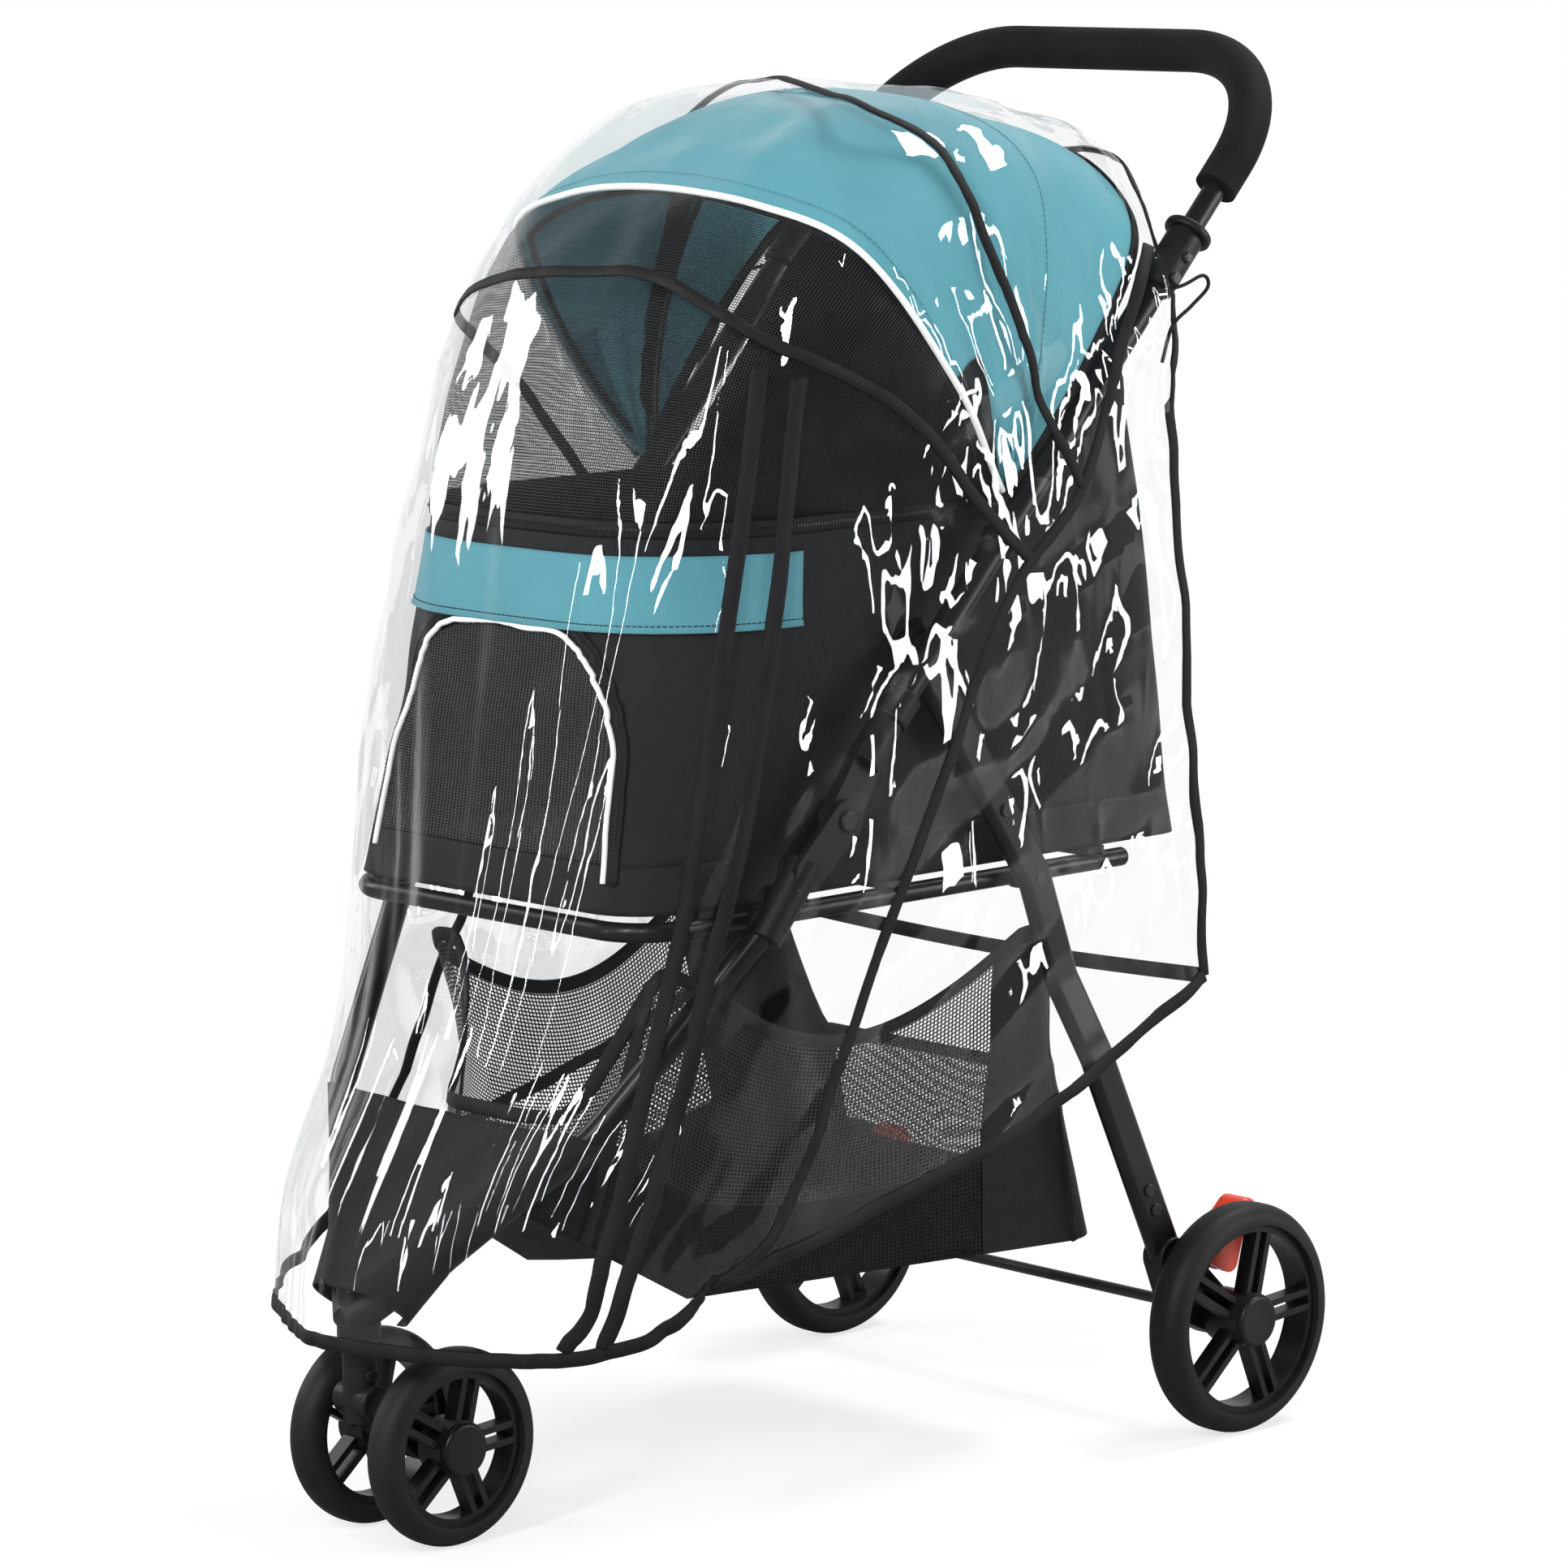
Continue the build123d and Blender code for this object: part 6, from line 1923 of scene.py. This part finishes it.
@dataclass
class Studio:
    """Camera, floor and lights."""

    eye: tuple[float, float, float] = (3015.48, -2776.10, 1093.37)
    turn: float = 46.849
    pitch: float = 8.683
    roll: float = -0.476
    focal: float = 7502.7
    picture: float = 1932.0
    sensor: float = 36.0
    behind: tuple[float, float, float] = (-0.73, 0.68, 0.0)
    white: tuple[float, float, float, float] = (1.0, 1.0, 1.0, 1.0)
    floor_reach: float = 14.0
    aim: tuple[float, float, float] = (0.0, 0.0, 0.5)
    lamps: tuple[tuple[str, tuple[float, float, float], tuple[float, float], float], ...] = (
        ("key", (0.9, -3.4, 2.6), (0.42, 1.9), 115.0),
        ("side", (2.9, 1.9, 1.4), (0.2, 1.9), 46.0),
        ("strip", (2.6, -2.9, 2.6), (0.16, 1.8), 48.0),
        ("low", (-0.9, -3.3, 1.1), (0.14, 1.6), 26.0),
        ("rear_strip", (2.3, 2.35, 0.9), (0.24, 1.6), 28.0),
        ("far", (-3.0, -1.2, 1.8), (0.8, 1.4), 50.0),
        ("top", (0.4, 1.9, 3.2), (1.2, 0.8), 82.0),
    )

    def camera(self) -> None:
        """Sets the camera at the photograph's viewing angle."""
        az, down, roll = (math.radians(v) for v in (self.turn, self.pitch, self.roll))
        ahead = Vector((-math.sin(az) * math.cos(down), math.cos(az) * math.cos(down), -math.sin(down)))
        right = Vector((math.cos(az), math.sin(az), 0.0))
        above = right.cross(ahead)
        across = right * math.cos(roll) + above * math.sin(roll)
        upward = above * math.cos(roll) - right * math.sin(roll)
        data = bpy.data.cameras.new("camera")
        data.sensor_width = self.sensor
        data.lens = self.focal / self.picture * self.sensor
        data.clip_end = 60.0
        obj = Mesher.link("camera", data)
        basis = Matrix((across, upward, -ahead)).transposed().to_4x4()
        basis.translation = Vector(to_row(np.array(self.eye)))
        obj.matrix_world = basis
        bpy.context.scene.camera = obj

    def lamp(self, name: str, spot: Vector, size: tuple[float, float], power: float) -> None:
        """Adds one soft box.

        Args:
            name: its name.
            spot: where it stands, in metres.
            size: width and height in metres.
            power: watts.
        """
        data = bpy.data.lights.new(name, "AREA")
        data.shape = "RECTANGLE"
        data.size, data.size_y = size
        data.energy = power
        obj = Mesher.link(name, data)
        obj.location = spot
        obj.rotation_euler = (Vector(self.aim) - spot).to_track_quat("-Z", "Y").to_euler()

    def world(self) -> None:
        """White surroundings for the camera, dimmer as a light, brightest behind in reflections."""
        bench = Bench("studio", world=True)
        ways = {0: bench.place("Generated"), 1: self.behind}
        facing = bench.node("ShaderNodeVectorMath", {"operation": "DOT_PRODUCT"}, ways, "Value")
        mirrored = facing.ramp(0.3, 0.95, 0.14, 0.9, soft=False)
        light = bench.node("ShaderNodeMix", {}, {0: bench.ray("Is Glossy Ray"), 2: 0.26, 3: mirrored})
        glow = bench.node("ShaderNodeMix", {}, {0: bench.ray("Is Camera Ray"), 2: light, 3: 1.0})
        back = bench.node("ShaderNodeBackground", {}, {"Color": self.white, "Strength": glow})
        bpy.context.scene.world = bench.finish(back)

    def floor(self) -> None:
        """Pale floor that keeps the shadow."""
        bench = Bench("studio_floor")
        tint = bench.blend(bench.noise(1.5, 2.0), (0.93, 0.93, 0.93), (0.96, 0.96, 0.96))
        across, along, _ = bench.axes(bench.place())
        glow = bench.node("ShaderNodeEmission", {}, {"Color": self.white, "Strength": 1.0})
        dull = bench.surface(Base_Color=(0.32, 0.32, 0.32), Roughness=0.9)
        past = (across * self.behind[0] + along * self.behind[1]).ramp(0.4, 1.6)
        matt = bench.surface(Base_Color=tint, Roughness=0.9)
        matt = bench.mix(bench.ray("Is Glossy Ray"), matt, bench.mix(past, dull, glow))
        far = ((across * across + along * along) ** 0.5).ramp(0.45, 1.7, 0.72, 1.0)
        material = bench.finish(bench.mix(bench.ray("Is Camera Ray") * far, matt, glow))
        mesh = bpy.data.meshes.new("floor")
        reach = self.floor_reach
        corners = [(-reach, -reach, 0), (reach, -reach, 0), (reach, reach, 0), (-reach, reach, 0)]
        mesh.from_pydata(corners, [], [(0, 1, 2, 3)])
        mesh.materials.append(material)
        obj = Mesher.link("floor", mesh)

    def build(self) -> None:
        """Sets up the studio."""
        bpy.context.scene.view_settings.view_transform = "Standard"
        self.camera()
        self.world()
        self.floor()
        for name, spot, size, power in self.lamps:
            self.lamp(name, Vector(spot), size, power)


def main() -> None:
    """Builds the pieces in order."""
    logging.basicConfig(level=logging.INFO, format="%(message)s")
    Studio().build()
    Dressing().build()
    Hood().build()
    Cabin().build()
    Basket(fold_z=408.0, keep=0.15).build()
    FrontPanel().build()
    under = ["canopy_cloth", "front_screen", "cabin_tub", "cabin_pan", "bow_piping", "front_panel_cloth",
             "teal_flap", "front_head", "base_tube"]
    for side in ("left", "right"):
        under += [f"front_leg_{side}", f"upper_tube_{side}", f"leg_clevis_{side}", f"joint_tongue_{side}",
                  f"fold_latch_{side}", f"rear_leg_{side}"]
    things = Reach.points(under)
    hem_z = 150.0
    RainCover(fold_z=419.0, keep=0.5).build(things[things[:, 2] > hem_z])


if __name__ == "__main__":
    main()
